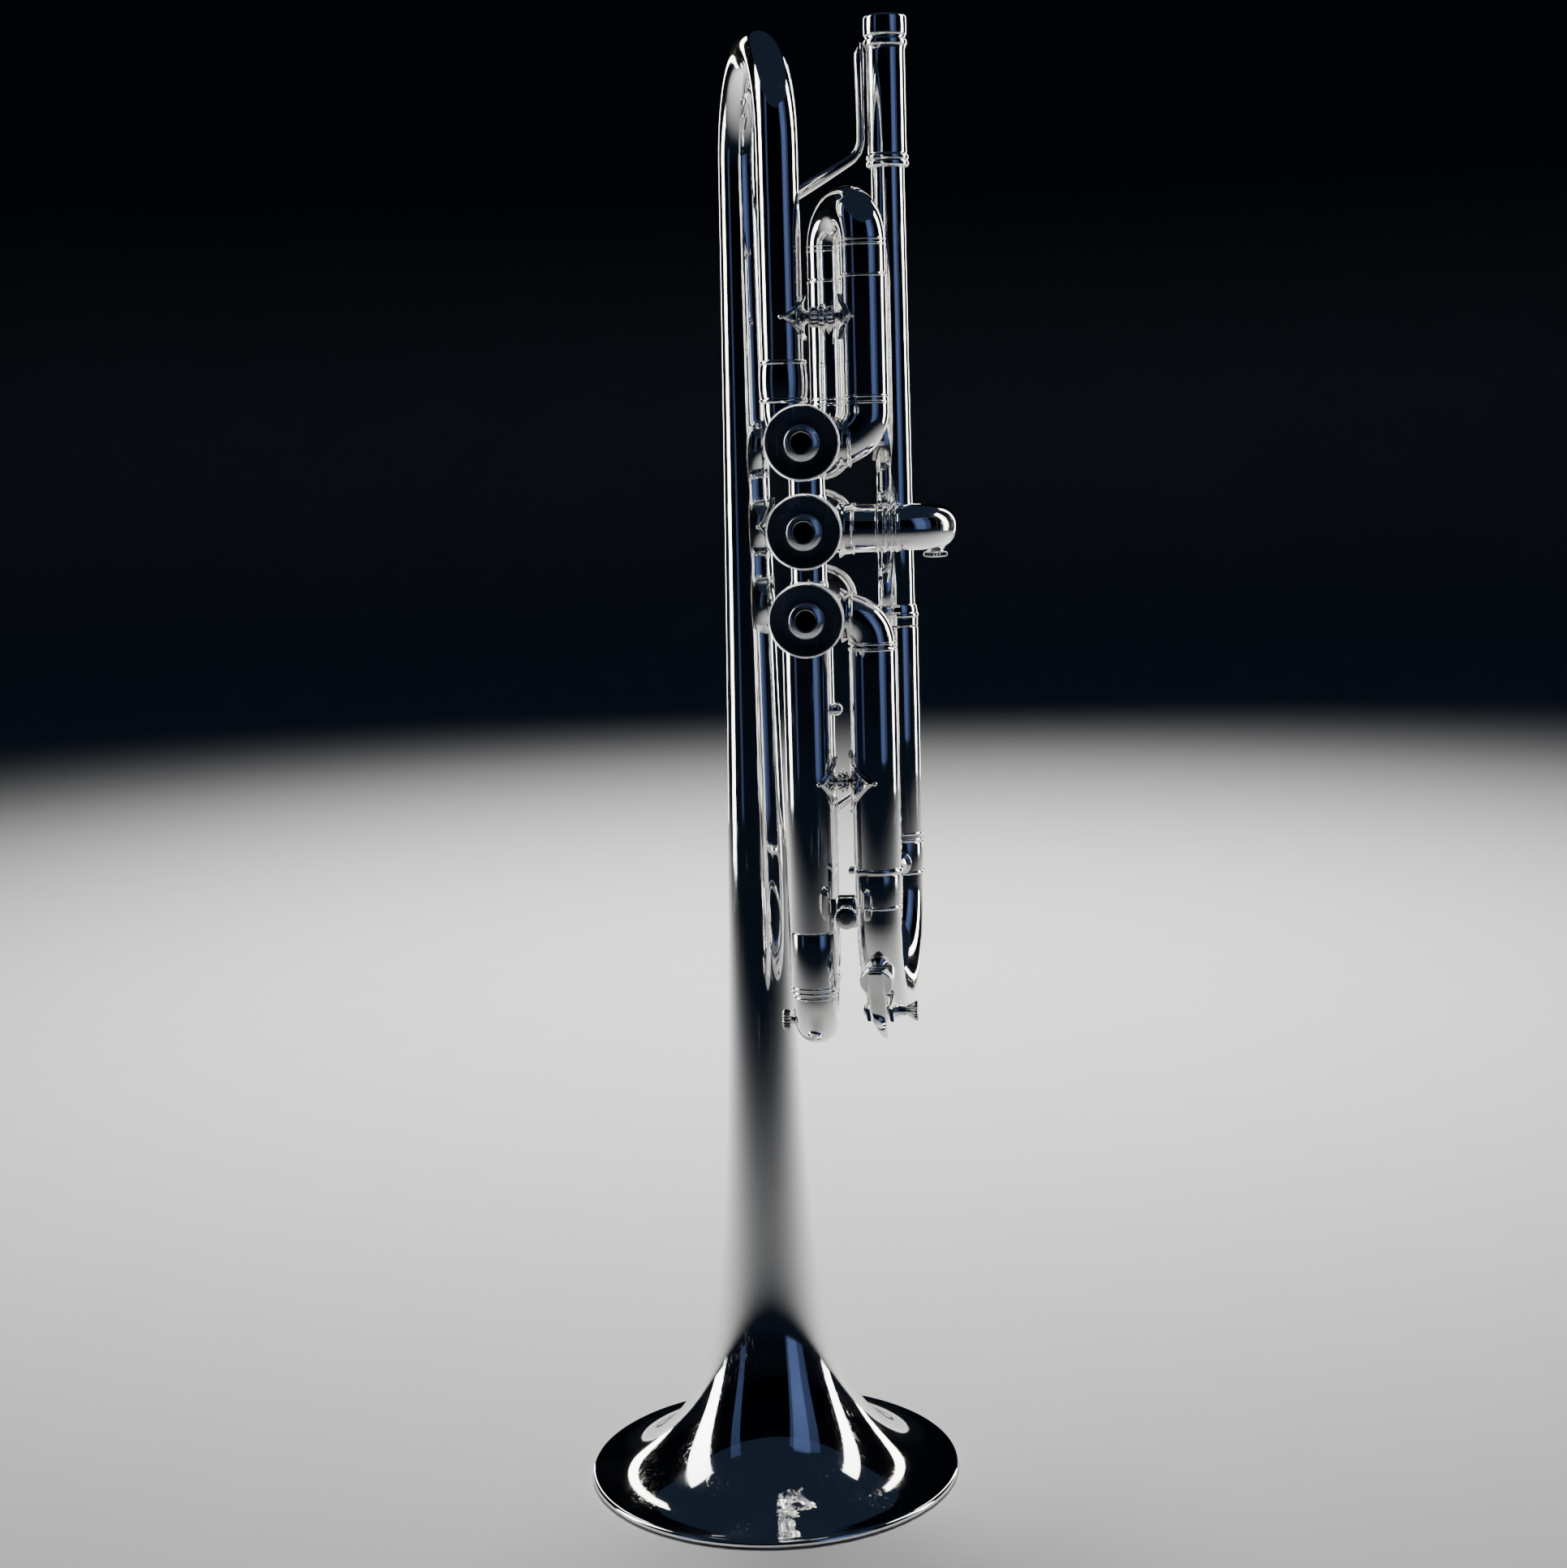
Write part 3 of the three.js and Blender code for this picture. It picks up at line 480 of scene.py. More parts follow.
def make_bell():
    rim, wall, stem_top = 61.5, 0.6, 423.0
    flare = [stem_top * (k / 150) ** 2.4 + 2.6 for k in range(150)]
    heights = [h for h in flare if 2.9 <= h < stem_top] + [stem_top]
    outside = [(bell_radius(h), h) for h in heights]
    bead = [(rim - 1.25 + 1.25 * math.cos(math.radians(a)), 1.25 + 1.25 * math.sin(math.radians(a)))
            for a in range(-135, 120, 12)]
    tip = outside[0]
    lead = [(bead[-1][0] + (tip[0] - bead[-1][0]) * t, bead[-1][1] + (tip[1] - bead[-1][1]) * t)
            for t in (0.33, 0.66)]
    inside = []
    for i, (r, h) in enumerate(outside):
        r0, h0 = outside[max(i - 1, 0)]
        r1, h1 = outside[min(i + 1, len(outside) - 1)]
        length = math.hypot(r1 - r0, h1 - h0)
        inside.append((r - wall * (h1 - h0) / length, h + wall * (r1 - r0) / length))

    span = math.hypot(TAIL_X, LOW)
    bow = framed(route([(0, 0, stem_top), (0, 0, 456), (TAIL_X, LOW, 456), (TAIL_X, LOW, 357.6)],
                       span / 2, 3.0, 12.0))
    u, v = bow[0][2], bow[0][3]
    straight = [(Vector((0, 0, h)), u, v, r) for r, h in bead + lead + outside[:-1]]
    rings = straight + [(p, a, b, 6.08) for p, d, a, b in bow]
    rings += [(p, a, b, 5.5) for p, d, a, b in reversed(bow)]
    rings += [(Vector((0, 0, h)), u, v, max(r, 5.4)) for r, h in reversed(inside[:-1])]
    rings.append((Vector((0, 0, 0.7)), u, v, 58.9))
    points, faces = skin(rings, True, 192)
    mesh_object("bell_and_bow", points, faces, BELL, BODY, ("bell", "bell_bow"), sharp=45)

    turned("tail_ferrule", [
        (6.12, 351.4), (6.75, 351.4), (7.05, 351.9), (7.05, 352.5), (6.7, 352.9), (6.85, 354), (7.05, 356.2),
        (7.05, 358.6), (6.85, 361.4), (6.65, 362.4), (6.95, 362.7), (6.95, 363.3), (6.6, 363.7),
        (6.12, 363.7),
    ], (TAIL_X, LOW, 0), UP, SILVER, replaced="bell_tail_ferrule")
    z = VALVES[0].z
    tube("tail_elbow", [(TAIL_X, LOW, 357.3), (TAIL_X, LOW, z + 6), (VALVE_X - 3, LOW, z + 3)], 10, 5.9, 5.3,
         SILVER, replaced="bell_tail_elbow")


# ---------------------------------------------------------------- leadpipe

def make_leadpipe():
    at = TUNING_FAR
    turned("leadpipe_tube", [(5.3, 283), (5.85, 283), (5.2, 432), (4.65, 432)], at, UP, SILVER,
           replaced="leadpipe")
    turned("leadpipe_collar", [
        (6.1, 282.3), (6.7, 282.3), (6.7, 285), (6.95, 285.4), (6.95, 286.2), (6.6, 286.6), (6.45, 288.2),
        (6.2, 289), (5.95, 289),
    ], at, UP, SILVER, replaced="leadpipe_ferrule")
    turned("receiver", [
        (5.55, 424.4), (6.2, 424.4), (6.75, 424.9), (6.75, 425.9), (6.3, 426.4), (6.65, 426.9), (6.65, 427.8),
        (6.15, 428.4), (6.1, 431), (6.1, 459.6), (6.35, 460.6), (6.8, 461.1), (6.8, 462.4), (6.3, 463),
        (6.3, 463.6), (6.75, 464.1), (6.8, 466.5), (6.75, 469.3), (6.3, 470), (5.35, 470), (5.1, 469.2),
        (4.7, 434), (5.55, 432.4),
    ], at, UP, SILVER, replaced="mouthpiece_receiver")

    x, foot_y, mid = at.x, at.y + 6.1, 316.0
    radius = 11.4
    arc = [Vector((x, foot_y + 12.2 - radius * math.cos(a), mid + radius * math.sin(a)))
           for a in np.radians(np.linspace(0, -285, 64))]
    strap("little_finger_hook", with_directions(arc), X, lambda t: 6.2 - 1.6 * t, 1.9, FITTINGS,
          replaced="finger_hook")
    foot = [Vector((x, foot_y + 0.75, mid - 13 + 26 * t)) for t in np.linspace(0, 1, 30)]
    strap("hook_foot", with_directions(foot), X, lambda t: 1.0 + 5.2 * math.sin(math.pi * t) ** 0.7, 1.5,
          FITTINGS)


def with_directions(points):
    out = []
    for i, p in enumerate(points):
        d = points[min(i + 1, len(points) - 1)] - points[max(i - 1, 0)]
        out.append((p, d.normalized()))
    return out


# ---------------------------------------------------------------- valves

def make_valve(n, at):
    axis = (at.x, 0, at.z)
    turned(f"casing_{n}", [
        (8.6, -82.2), (9.5, -82.2), (9.5, -73.6), (9.75, -73.2), (9.75, -72.2), (9.5, -71.8), (9.5, 21.8),
        (9.8, 22.2), (9.8, 23.4), (9.5, 23.8), (9.5, 34.9), (8.6, 34.9),
    ], axis, Y, SILVER, replaced=f"valve_casing_{n}")

    face = CAP_FACE
    turned(f"cap_lower_{n}", [
        (2.85, face - 1.3), (3.05, face - 1.6), (3.4, face - 1.6), (4.6, face - 1.1), (4.85, face - 0.8),
        (4.95, face + 0.1), (5.15, face + 0.45), (7.5, face + 0.35), (9.7, face + 0.05), (10.2, face + 0.02),
        (10.9, face + 0.4), (10.9, -80.2), (10.35, -79.9), (10.35, -79.3), (10.75, -79.0), (10.75, -75),
        (9.8, -75), (9.8, face + 1.5), (2.9, face + 1.5),
    ], axis, Y, CAPS, replaced=f"bottom_cap_{n}", sides=480, by=0.18,
           knurl=(face + 0.05, -80.0, 10.35, 120, 0.4))
    turned(f"cap_upper_{n}", [
        (9.8, 27), (11.0, 27), (11.2, 27.3), (11.2, 30.6), (10.7, 30.9), (10.7, 31.4), (11.1, 31.8),
        (11.1, 34.6),
        (10.6, 35.6), (9.4, 36.4), (7, 36.9), (4.4, 37), (3.4, 36.8), (3.4, 35.2), (9.8, 35.2),
    ], axis, Y, CAPS, replaced=f"top_cap_{n}", sides=480, by=0.2, knurl=(27.2, 30.7, 10.9, 120, 0.36))
    body = f"valve_{n}"
    turned(f"button_{n}", [
        (0, 18.3), (2.2, 18.3), (2.9, 18.8), (2.9, 53.4), (3.4, 54.2), (5.2, 54.8), (7.1, 55.7), (8.1, 57.6),
        (8.25, 60), (8.2, 61.6), (7.7, 62.9), (7.0, 63.2), (6.7, 62.6), (0, 62.6),
    ], axis, Y, FITTINGS, body, f"finger_button_{n}", 128)
    turned(f"pearl_{n}", [(0, 62.5), (6.6, 62.5), (6.5, 63.1), (5.4, 63.5), (3, 63.85), (0, 63.95)],
           axis, Y, PEARL, body, sides=96, by=0.3)
    turned(f"button_felt_{n}", [(3.0, 53.2), (6.2, 53.2), (6.4, 53.6), (6.4, 54.4), (3.0, 54.5)],
           axis, Y, FELT, body, sides=96)


def crossover(n, upper, lower):
    """Short tube between two casings; its ends follow the casings' round walls."""
    y, wall = LOW + 3, 9.1
    top, bottom = upper.z - 6.9, lower.z + 6.9
    mid = (top + bottom) / 2
    profile = [
        (4.6, bottom), (5.6, bottom), (5.7, mid - 3.2), (5.3, mid - 2.4), (5.3, mid + 2.4), (5.7, mid + 3.2),
        (5.6, top), (4.6, top),
    ]
    rings = [(Vector((VALVE_X, y, h)), *across(UP), r) for r, h in eased(profile, True, 0.15)]
    points, faces = skin(rings, True, 96)
    for p in points:
        reach = math.sqrt(wall ** 2 - (p.x - VALVE_X) ** 2)
        p.z = min(max(p.z, lower.z + reach), upper.z - reach)
    mesh_object(f"crossover_{n}", points, faces, SILVER, BODY, f"crossover_tube_{n}")


def socket(name, at, along, radius, length, body=BODY):
    """Flared collar where a tube leaves a valve casing."""
    turned(name, [
        (radius - 0.2, 0), (radius + 1.5, 0), (radius + 1.1, 0.9), (radius + 0.45, 1.8),
        (radius + 0.35, length - 1), (radius + 0.6, length - 0.7), (radius + 0.6, length - 0.2),
        (radius + 0.1, length), (radius - 0.2, length),
    ], at, along, FITTINGS, body)


# ---------------------------------------------------------------- slides

def bow_points(near, far, out, rise, start=0.0):
    near, far, out = Vector(near), Vector(far), Vector(out)
    return [near - out * start, near + out * rise, far + out * rise, far - out * start]


def make_first_slide():
    z, near, far, seat = VALVES[0].z, FIRST_NEAR, FIRST_FAR, 387.5
    tube("first_outer_near", [near + UP * 387.2, near + UP * z, Vector((VALVE_X + 8.6, near.y, z))],
         9, 6.6, 6.15, SILVER, replaced="first_slide_outer_lower")
    bend = far.x - VALVE_X
    tube("first_outer_far", [far + UP * 387.2, far + UP * (z + bend), Vector((VALVE_X + 1, far.y, z + 1))],
         8, 6.6, 6.15, SILVER, replaced="first_slide_outer_upper")
    socket("first_socket", (VALVE_X + 9.2, near.y, z), X, 6.6, 4.2)
    for name, at in (("near", near), ("far", far)):
        rings_on(f"first_ring_{name}", at, UP, 6.6, (351.0, 352.7))
        rings_on(f"first_lip_{name}", at, UP, 6.6, (386.8,), height=0.18, width=0.6)
    radius = (near - far).length / 2
    legs = bow_points(near + UP * seat, far + UP * seat, UP, 19.3, 31)
    tube("first_crook", legs, radius, 5.85, 5.35, NICKEL, "first_slide", "first_slide_crook")
    bow = bow_points(near + UP * seat, far + UP * seat, UP, 19.3)
    tube("first_bow", bow, radius, 6.5, 5.84, SILVER, "first_slide")
    for name, at in (("near", near), ("far", far)):
        rings_on(f"first_crook_ring_{name}", at, UP, 6.5, (395.6, 397.0), "first_slide", 0.25, 0.7)

    x, base, top, mid, half = far.x, far.y + 6.95 + 0.9, -17.3, seat + 4.5, 11.1
    corners = [(x, top, mid - half), (x, base, mid - half), (x, base, mid + half), (x, top, mid + half)]
    strap("thumb_saddle", route(corners, 5.0, 6.0, 3.0), X, lambda t: 9.0 - 2.2 * abs(2 * t - 1) ** 3, 1.7,
          FITTINGS, "first_slide", "first_slide_thumb_saddle")


def make_second_slide():
    z = VALVES[1].z
    for n, y, word in ((1, LOW, "lower"), (2, HIGH, "upper")):
        at = (0, y, z)
        turned(f"second_outer_{n}", hollow(6.8, 6.35, VALVE_X + 8.6, 45.2), at, X, SILVER,
               replaced=f"second_slide_outer_{word}")
        socket(f"second_socket_{n}", (VALVE_X + 9.2, y, z), X, 6.8, 4.6)
        rings_on(f"second_ring_{n}", at, X, 6.8, (42.3, 44.4))
        rings_on(f"second_crook_ring_{n}", at, X, 6.8, (46.4, 48.0), "second_slide")
    near, far = Vector((45.5, LOW, z)), Vector((45.5, HIGH, z))
    tube("second_crook", bow_points(near, far, X, 13.7, 11), 10, 6.05, 5.55, NICKEL, "second_slide",
         "second_slide_crook")
    tube("second_bow", bow_points(near, far, X, 13.7), 10, 6.6, 6.04, SILVER, "second_slide")
    for n, y in ((1, LOW), (2, HIGH)):
        turned(f"second_sleeve_{n}", hollow(6.8, 6.5, 45.5, 49), (0, y, z), X, WORN, "second_slide")
    turned("second_knob", [
        (0, -1.2), (2.6, -1.2), (2.8, 0.2), (2.3, 0.55), (2.25, 0.9), (2.9, 1.2), (3.5, 1.5), (3.5, 2.5),
        (3.1, 2.8), (1.8, 2.95), (0, 3),
    ], (59.2, (LOW + HIGH) / 2, z - 6.2), DOWN, FITTINGS, "second_slide", sides=240, by=0.15,
           knurl=(1.4, 2.7, 3.3, 26, 0.4))


def make_third_slide():
    top = VALVES[2].z
    seat, dump = 195.5, 176.8
    for n, y, word in ((1, LOW, "lower"), (2, HIGH, "upper")):
        at = (THIRD_X, y, 0)
        turned(f"third_outer_{n}", hollow(7.1, 6.65, seat + 0.3, top - 8.4), at, UP, SILVER,
               replaced=f"third_slide_outer_{word}")
        turned(f"third_leg_{n}", hollow(6.35, 5.85, dump, seat + 56), at, UP, NICKEL, "third_slide",
               "third_slide_sleeves" if n == 1 else ())
        turned(f"third_sleeve_{n}", hollow(7.1, 6.15, dump, seat), at, UP, WORN, "third_slide", by=0.3)
        rings_on(f"third_ring_{n}", at, UP, 7.05, (dump + 0.6, dump + 2.0), "third_slide", 0.28, 0.75)
        rings_on(f"third_dump_ring_{n}", at, UP, 6.6, (dump - 1.0,), "third_slide_dump", 0.25, 0.8)
    turned("third_bar", [
        (0, LOW + 6.9), (2.9, LOW + 6.9), (1.8, LOW + 8.3), (1.6, LOW + 9), (1.6, HIGH - 9),
        (1.8, HIGH - 8.3), (2.9, HIGH - 6.9), (0, HIGH - 6.9),
    ], (THIRD_X, 0, 186), Y, FITTINGS, "third_slide", sides=48)
    near, far = Vector((THIRD_X, LOW, dump - 0.3)), Vector((THIRD_X, HIGH, dump - 0.3))
    tube("third_dump_legs", bow_points(near, far, DOWN, 10.7, 13), 10, 5.55, 5.05, NICKEL,
         "third_slide_dump", "third_slide_dump_crook")
    tube("third_dump_bow", bow_points(near, far, DOWN, 10.7), 10, 6.6, 5.54, SILVER, "third_slide_dump")
    turned("third_dump_knob", [
        (0, -1), (1.7, -1), (1.7, 1.1), (2.6, 1.5), (3.1, 1.9), (3.1, 3.7), (2.5, 4.2), (0, 4.3),
    ], (THIRD_X - 6.2, LOW + 5, 167.4), -X, FITTINGS, "third_slide_dump", sides=200, by=0.2,
           knurl=(1.6, 4.0, 2.9, 20, 0.4))

    foot_y = HIGH + 7.4
    mid = Vector((THIRD_X, foot_y + 14.4, 186))
    hoop = [mid + Vector((0, -12 * math.cos(a), 12 * math.sin(a)))
            for a in np.linspace(0, 2 * math.pi, 97)[:-1]]
    stations = [(p, Vector((0, math.sin(a), math.cos(a)))) for p, a in
                zip(hoop, np.linspace(0, 2 * math.pi, 97)[:-1])]
    strap("finger_ring", stations, X, 3.4, 2.5, FITTINGS, "third_slide", "third_slide_ring", closed=True)
    foot = [Vector((THIRD_X, foot_y + 0.8, 180.5 + 11 * t)) for t in np.linspace(0, 1, 24)]
    strap("ring_foot", with_directions(foot), X, lambda t: 1.2 + 4.2 * math.sin(math.pi * t) ** 0.7, 1.7,
          FITTINGS, "third_slide")


def make_tuning_slide():
    z, near, far = VALVES[2].z, TUNING_NEAR, TUNING_FAR
    tube("third_knuckle", [Vector((VALVE_X + 8.6, near.y, z)), near + UP * z, near + UP * 280.5],
         9, 6.6, 6.1, SILVER, replaced="third_valve_knuckle")
    socket("knuckle_socket", (VALVE_X + 9.2, near.y, z), X, 6.6, 3.6)
    turned("tuning_outer_near", hollow(7.0, 6.55, SEAT + 0.3, 280.2), near, UP, SILVER,
           replaced="tuning_outer_tube_lower")
    turned("tuning_outer_far", hollow(6.7, 6.25, SEAT + 0.3, 282), far, UP, SILVER,
           replaced="tuning_outer_tube_upper")
    rings_on("knuckle_ring", near, UP, 6.95, (279.6, 281.4))
    rings_on("tuning_bead", near, UP, 6.95, (213.9,), height=0.75, width=1.9)
    ball("tuning_lug", near + Vector((-7.6, -1.2, 213.9)), 1.3)
    rings_on("tuning_ring_far", far, UP, 6.65, (213.6, 215.6), height=0.4)

    body = "tuning_slide"
    radius = (near - far).length / 2
    tube("tuning_crook", bow_points(near + UP * SEAT, far + UP * SEAT, DOWN, TUNING_RISE, 60),
         radius, 5.95, 5.45, NICKEL, body, "tuning_slide_crook")
    tube("tuning_bow", bow_points(near + UP * SEAT, far + UP * SEAT, DOWN, TUNING_RISE), radius, 6.6, 5.94,
         SILVER, body)
    for word, at in (("near", near), ("far", far)):
        turned(f"tuning_sleeve_{word}", hollow(6.85, 6.5, 202.6, SEAT), at, UP, WORN, body)
        rings_on(f"tuning_sleeve_ring_{word}", at, UP, 6.8, (203.0,), body, 0.4, 1.1)

    start, end = near + UP * 206.5, far + UP * 206.5
    reach = (end - start).length
    a, b, h = 6.85, reach - 6.85, reach / 2
    turned("tuning_brace", [
        (0, a), (3.7, a), (3.9, a + 0.5), (2.6, a + 1.4), (1.7, a + 2.8), (1.55, h - 4), (1.9, h - 2.6),
        (1.7, h - 1.9), (2.6, h), (1.7, h + 1.9), (1.9, h + 2.6), (1.55, h + 4), (1.7, b - 2.8),
        (2.6, b - 1.4), (3.9, b - 0.5), (3.7, b), (0, b),
    ], start, end - start, FITTINGS, body, "tuning_slide_brace", 64, 0.4)


# ---------------------------------------------------------------- water key

def on_bow(degrees, height):
    """A point at a height from the tuning bow's centre line, and the way out there."""
    across_bow = TUNING_NEAR - TUNING_FAR
    radius = across_bow.length / 2
    hub = TUNING_FAR + across_bow / 2 + UP * (SEAT - TUNING_RISE + radius)
    a = math.radians(degrees)
    out = across_bow.normalized() * math.cos(a) - UP * math.sin(a)
    return hub + out * (radius + height), out


def make_water_key():
    normal = on_bow(0, 0)[1].cross(Z).normalized()
    if normal.x < 0:
        normal = -normal
    pin, _ = on_bow(41, 11.6)
    cup_at, cup_out = on_bow(24, 0)
    body = "water_key"
    turned("key_cup", [
        (4.1, 7.0), (4.9, 6.9), (5.1, 7.2), (5.1, 11.9), (4.8, 12.4), (4.95, 12.8), (4.6, 13.3), (0.3, 13.35),
        (0.3, 12.2), (4.1, 12.2),
    ], cup_at, cup_out, SILVER, body, sides=96)
    turned("key_cork", [(0, 7.5), (2.7, 7.5), (3.0, 8.1), (3.8, 8.6), (3.85, 12.1), (0, 12.1)],
           cup_at, cup_out, CORK, body, "water_key_cork", 72, 0.3)
    turned("water_nipple", [(0, 6.2), (3.6, 6.2), (3.2, 6.7), (3.1, 7.25), (0, 7.25)], cup_at, cup_out,
           SILVER, "tuning_slide", sides=48, by=0.15)

    path = [on_bow(a, h)[0] for a, h in zip(
        np.interp(np.linspace(0, 1, 40), [0, 0.2, 0.45, 0.6, 1], [19, 27, 38, 44, 61]),
        np.interp(np.linspace(0, 1, 40), [0, 0.2, 0.45, 0.6, 1], [13.4, 14.1, 14.2, 14.0, 13.0]))]
    strap("key_lever", with_directions(path), normal,
          lambda t: 4.2 + 1.0 * math.sin(math.pi * min(1, t * 1.4)) - 2.6 * max(0, t - 0.55) / 0.45,
          1.7, FITTINGS, body, "water_key_lever")
    turned("key_hub", [(1.5, -2.4), (2.3, -2.4), (2.7, -1.9), (2.3, -1.2), (2.3, 1.2), (2.7, 1.9), (2.3, 2.4),
                       (1.5, 2.4)], pin, normal, FITTINGS, body, sides=64)

    inside, outside = 2.8, 4.1
    base, out = on_bow(41, 6.5)
    for n, sign in ((1, -1), (2, 1)):
        post = [base + normal * (sign * (inside + outside) / 2) + out * h for h in np.linspace(0, 7.0, 20)]
        direction = out.cross(normal).normalized()
        strap(f"key_post_{n}", [(p, out) for p in post], direction,
              lambda t: 6.4 - 2.9 * math.sin(math.pi * min(1, t * 1.2)) ** 2 + 0.4 * t, 1.3, FITTINGS,
              "tuning_slide", ("water_key_saddle",) if n == 1 else ())
    plate = [base + out * 0.7 + normal * h for h in np.linspace(-outside, outside, 12)]
    strap("key_saddle_base", [(p, normal) for p in plate], out.cross(normal), 6.4, 1.3, FITTINGS,
          "tuning_slide")
    turned("key_screw", [
        (0, -4.9), (1.5, -4.9), (1.7, -4.5), (1.2, -4.1), (1.2, 4.2), (1.9, 4.4), (2.1, 4.9), (1.6, 5.5),
        (1.55, 8), (2.1, 9.2), (3.0, 10.6), (3.0, 11.4), (2.4, 11.7), (0, 11.5),
    ], pin, normal, FITTINGS, "tuning_slide", "water_key_screw", 160, 0.15, knurl=(10.3, 11.5, 2.8, 22, 0.3))


# ---------------------------------------------------------------- braces and fittings

def s_brace(name, corners, replaced):
    """Swelling rod with a leaf-shaped foot soldered along each tube."""
    def thickness(t):
        return 1.25 + 0.45 * math.sin(math.pi * t) ** 2 + 0.25 * math.cos(4 * math.pi * t)

    rod(name, corners, 8, thickness, FITTINGS, replaced=replaced)
    for k, (tip, inner) in enumerate(((corners[0], corners[1]), (corners[3], corners[2]))):
        tip, inner = Vector(tip), Vector(inner)
        span = inner - tip
        leaf = [tip + span * (t * 0.8 - 0.04) - X * (0.8 if k == 0 else -0.8) for t in np.linspace(0, 1, 30)]
        strap(f"{name}_leaf_{k + 1}", with_directions(leaf), Y,
              lambda t: 0.5 + 3.6 * math.sin(math.pi * t) ** 0.8, 0.9, FITTINGS)


def diamond_brace(name, at, bead, half_width, half_height, replaced, left_tube, right_tube, left_along=UP,
                  right_along=UP):
    """Turned, fluted brace between two diamond flanges; each tube is its axis x and its radius."""
    (lx, lr), (rx, rr) = left_tube, right_tube
    y, z = at
    start, end = lx + lr + 0.2, rx - rr - 0.2
    mid, span = (start + end) / 2, end - start
    neck = min(1.5, bead * 0.6)
    profile = [(0, start), (bead * 0.7, start), (neck, start + 0.12 * span)]
    for k, share in ((-1, 0.8), (0, 1.0), (1, 0.8)):
        c, w, r = mid + k * 0.23 * span, 0.115 * span, bead * share
        profile += [(r * 0.7, c - w), (r * 0.94, c - w * 0.5), (r, c), (r * 0.94, c + w * 0.5)]
    profile += [(bead * 0.55, mid + 0.35 * span), (neck, end - 0.12 * span), (bead * 0.7, end), (0, end)]
    turned(name, profile, (0, y, z), X, FITTINGS, replaced=replaced, sides=192, by=0.2,
           knurl=(mid - 0.34 * span, mid + 0.34 * span, bead * 0.5, 14, 0.4))
    diamond_flange(f"{name}_left", (lx, y, z), left_along, X, lr, half_width[0], half_height[0])
    diamond_flange(f"{name}_right", (rx, y, z), right_along, -X, rr, half_width[1], half_height[1])


def make_braces():
    far, near = TUNING_FAR, TUNING_NEAR
    s_brace("brace_rear", [(8.65, 0, 371), (8.25, 0, 412), (38.65, far.y, 429), (38.65, far.y, 461)],
            "rear_brace")
    s_brace("brace_front", [(12.9, 0, 168), (11.65, 0, 214), (38.15, far.y, 232), (38.15, far.y, 262)],
            "front_brace")
    diamond_brace("brace_bell_slide", (LOW, middle("bell_slide_brace").z), 3.9, (9.4, 6.8), (6.5, 6.5),
                  "bell_slide_brace", (TAIL_X, 6.1), (FIRST_NEAR.x, 6.6))
    diamond_brace("brace_slide_tube", (LOW, middle("slide_tube_brace").z), 3.9, (8.3, 10.8), (7.5, 9.4),
                  "slide_tube_brace", (THIRD_X, 7.1), (near.x, 7.0))
    z = middle("bell_valve_brace").z
    diamond_brace("brace_bell_valve", (0, z), 1.9, (8.3, 6.0), (9.0, 6.5), "bell_valve_brace",
                  (0, bell_radius(z)), (VALVE_X, CASING), right_along=Y)
    diamond_brace("brace_pipe_valve", (far.y, VALVES[0].z), 2.8, (5.0, 5.0), (5.2, 5.2),
                  "leadpipe_valve_brace", (VALVE_X, CASING), (far.x, 5.7), left_along=Y)
    ball("stop_nub", Vector((THIRD_X + 8.3, LOW, 262)), 1.9)


def make_lyre_holder():
    low, high = (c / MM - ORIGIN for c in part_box("lyre_holder"))
    left, right, front, back = 27.9, high.x, low.y, -66.4
    corners = [(left, front), (right, front), (right, back), (left, back)]
    inset, soft = 0.5, 1.1
    ring = []
    for k, (x, y) in enumerate(corners):
        cx = x + (inset + soft if k in (0, 3) else -inset - soft)
        cy = y + (inset + soft if k in (0, 1) else -inset - soft)
        for a in range(0, 91, 15):
            t = math.radians(a + (180, 270, 0, 90)[k])
            ring.append(Vector((cx + soft * math.cos(t), cy + soft * math.sin(t), (low.z + high.z) / 2)))
    size = len(ring)
    stations = [(p, (ring[(i + 1) % size] - ring[i - 1]).normalized()) for i, p in enumerate(ring)]
    strap("lyre_frame", stations, UP, high.z - low.z, 1.0, FITTINGS, replaced="lyre_holder", closed=True)
    foot = [Vector((26.4 + 2.4 * t, back - 0.9, (low.z + high.z) / 2)) for t in np.linspace(0, 1, 10)]
    strap("lyre_foot", with_directions(foot), UP, lambda t: 7.4 - 1.2 * t, 1.7, FITTINGS)
    at = middle("lyre_screw")
    turned("lyre_thumb_disc", [
        (0, front - 3.75), (1.9, front - 3.65), (3.1, front - 3.3), (3.5, front - 2.9), (3.5, front - 1.3),
        (3.0, front - 0.9), (2.2, front - 0.35), (1.2, front - 0.3), (1.2, front + 0.8), (0, front + 0.8),
    ], (at.x, 0, at.z), Y, CAPS, "lyre_thumb_screw", "lyre_screw", 260, 0.15,
           knurl=(front - 3.2, front - 1.0, 3.1, 26, 0.36))


# ---------------------------------------------------------------- hidden CAD pieces

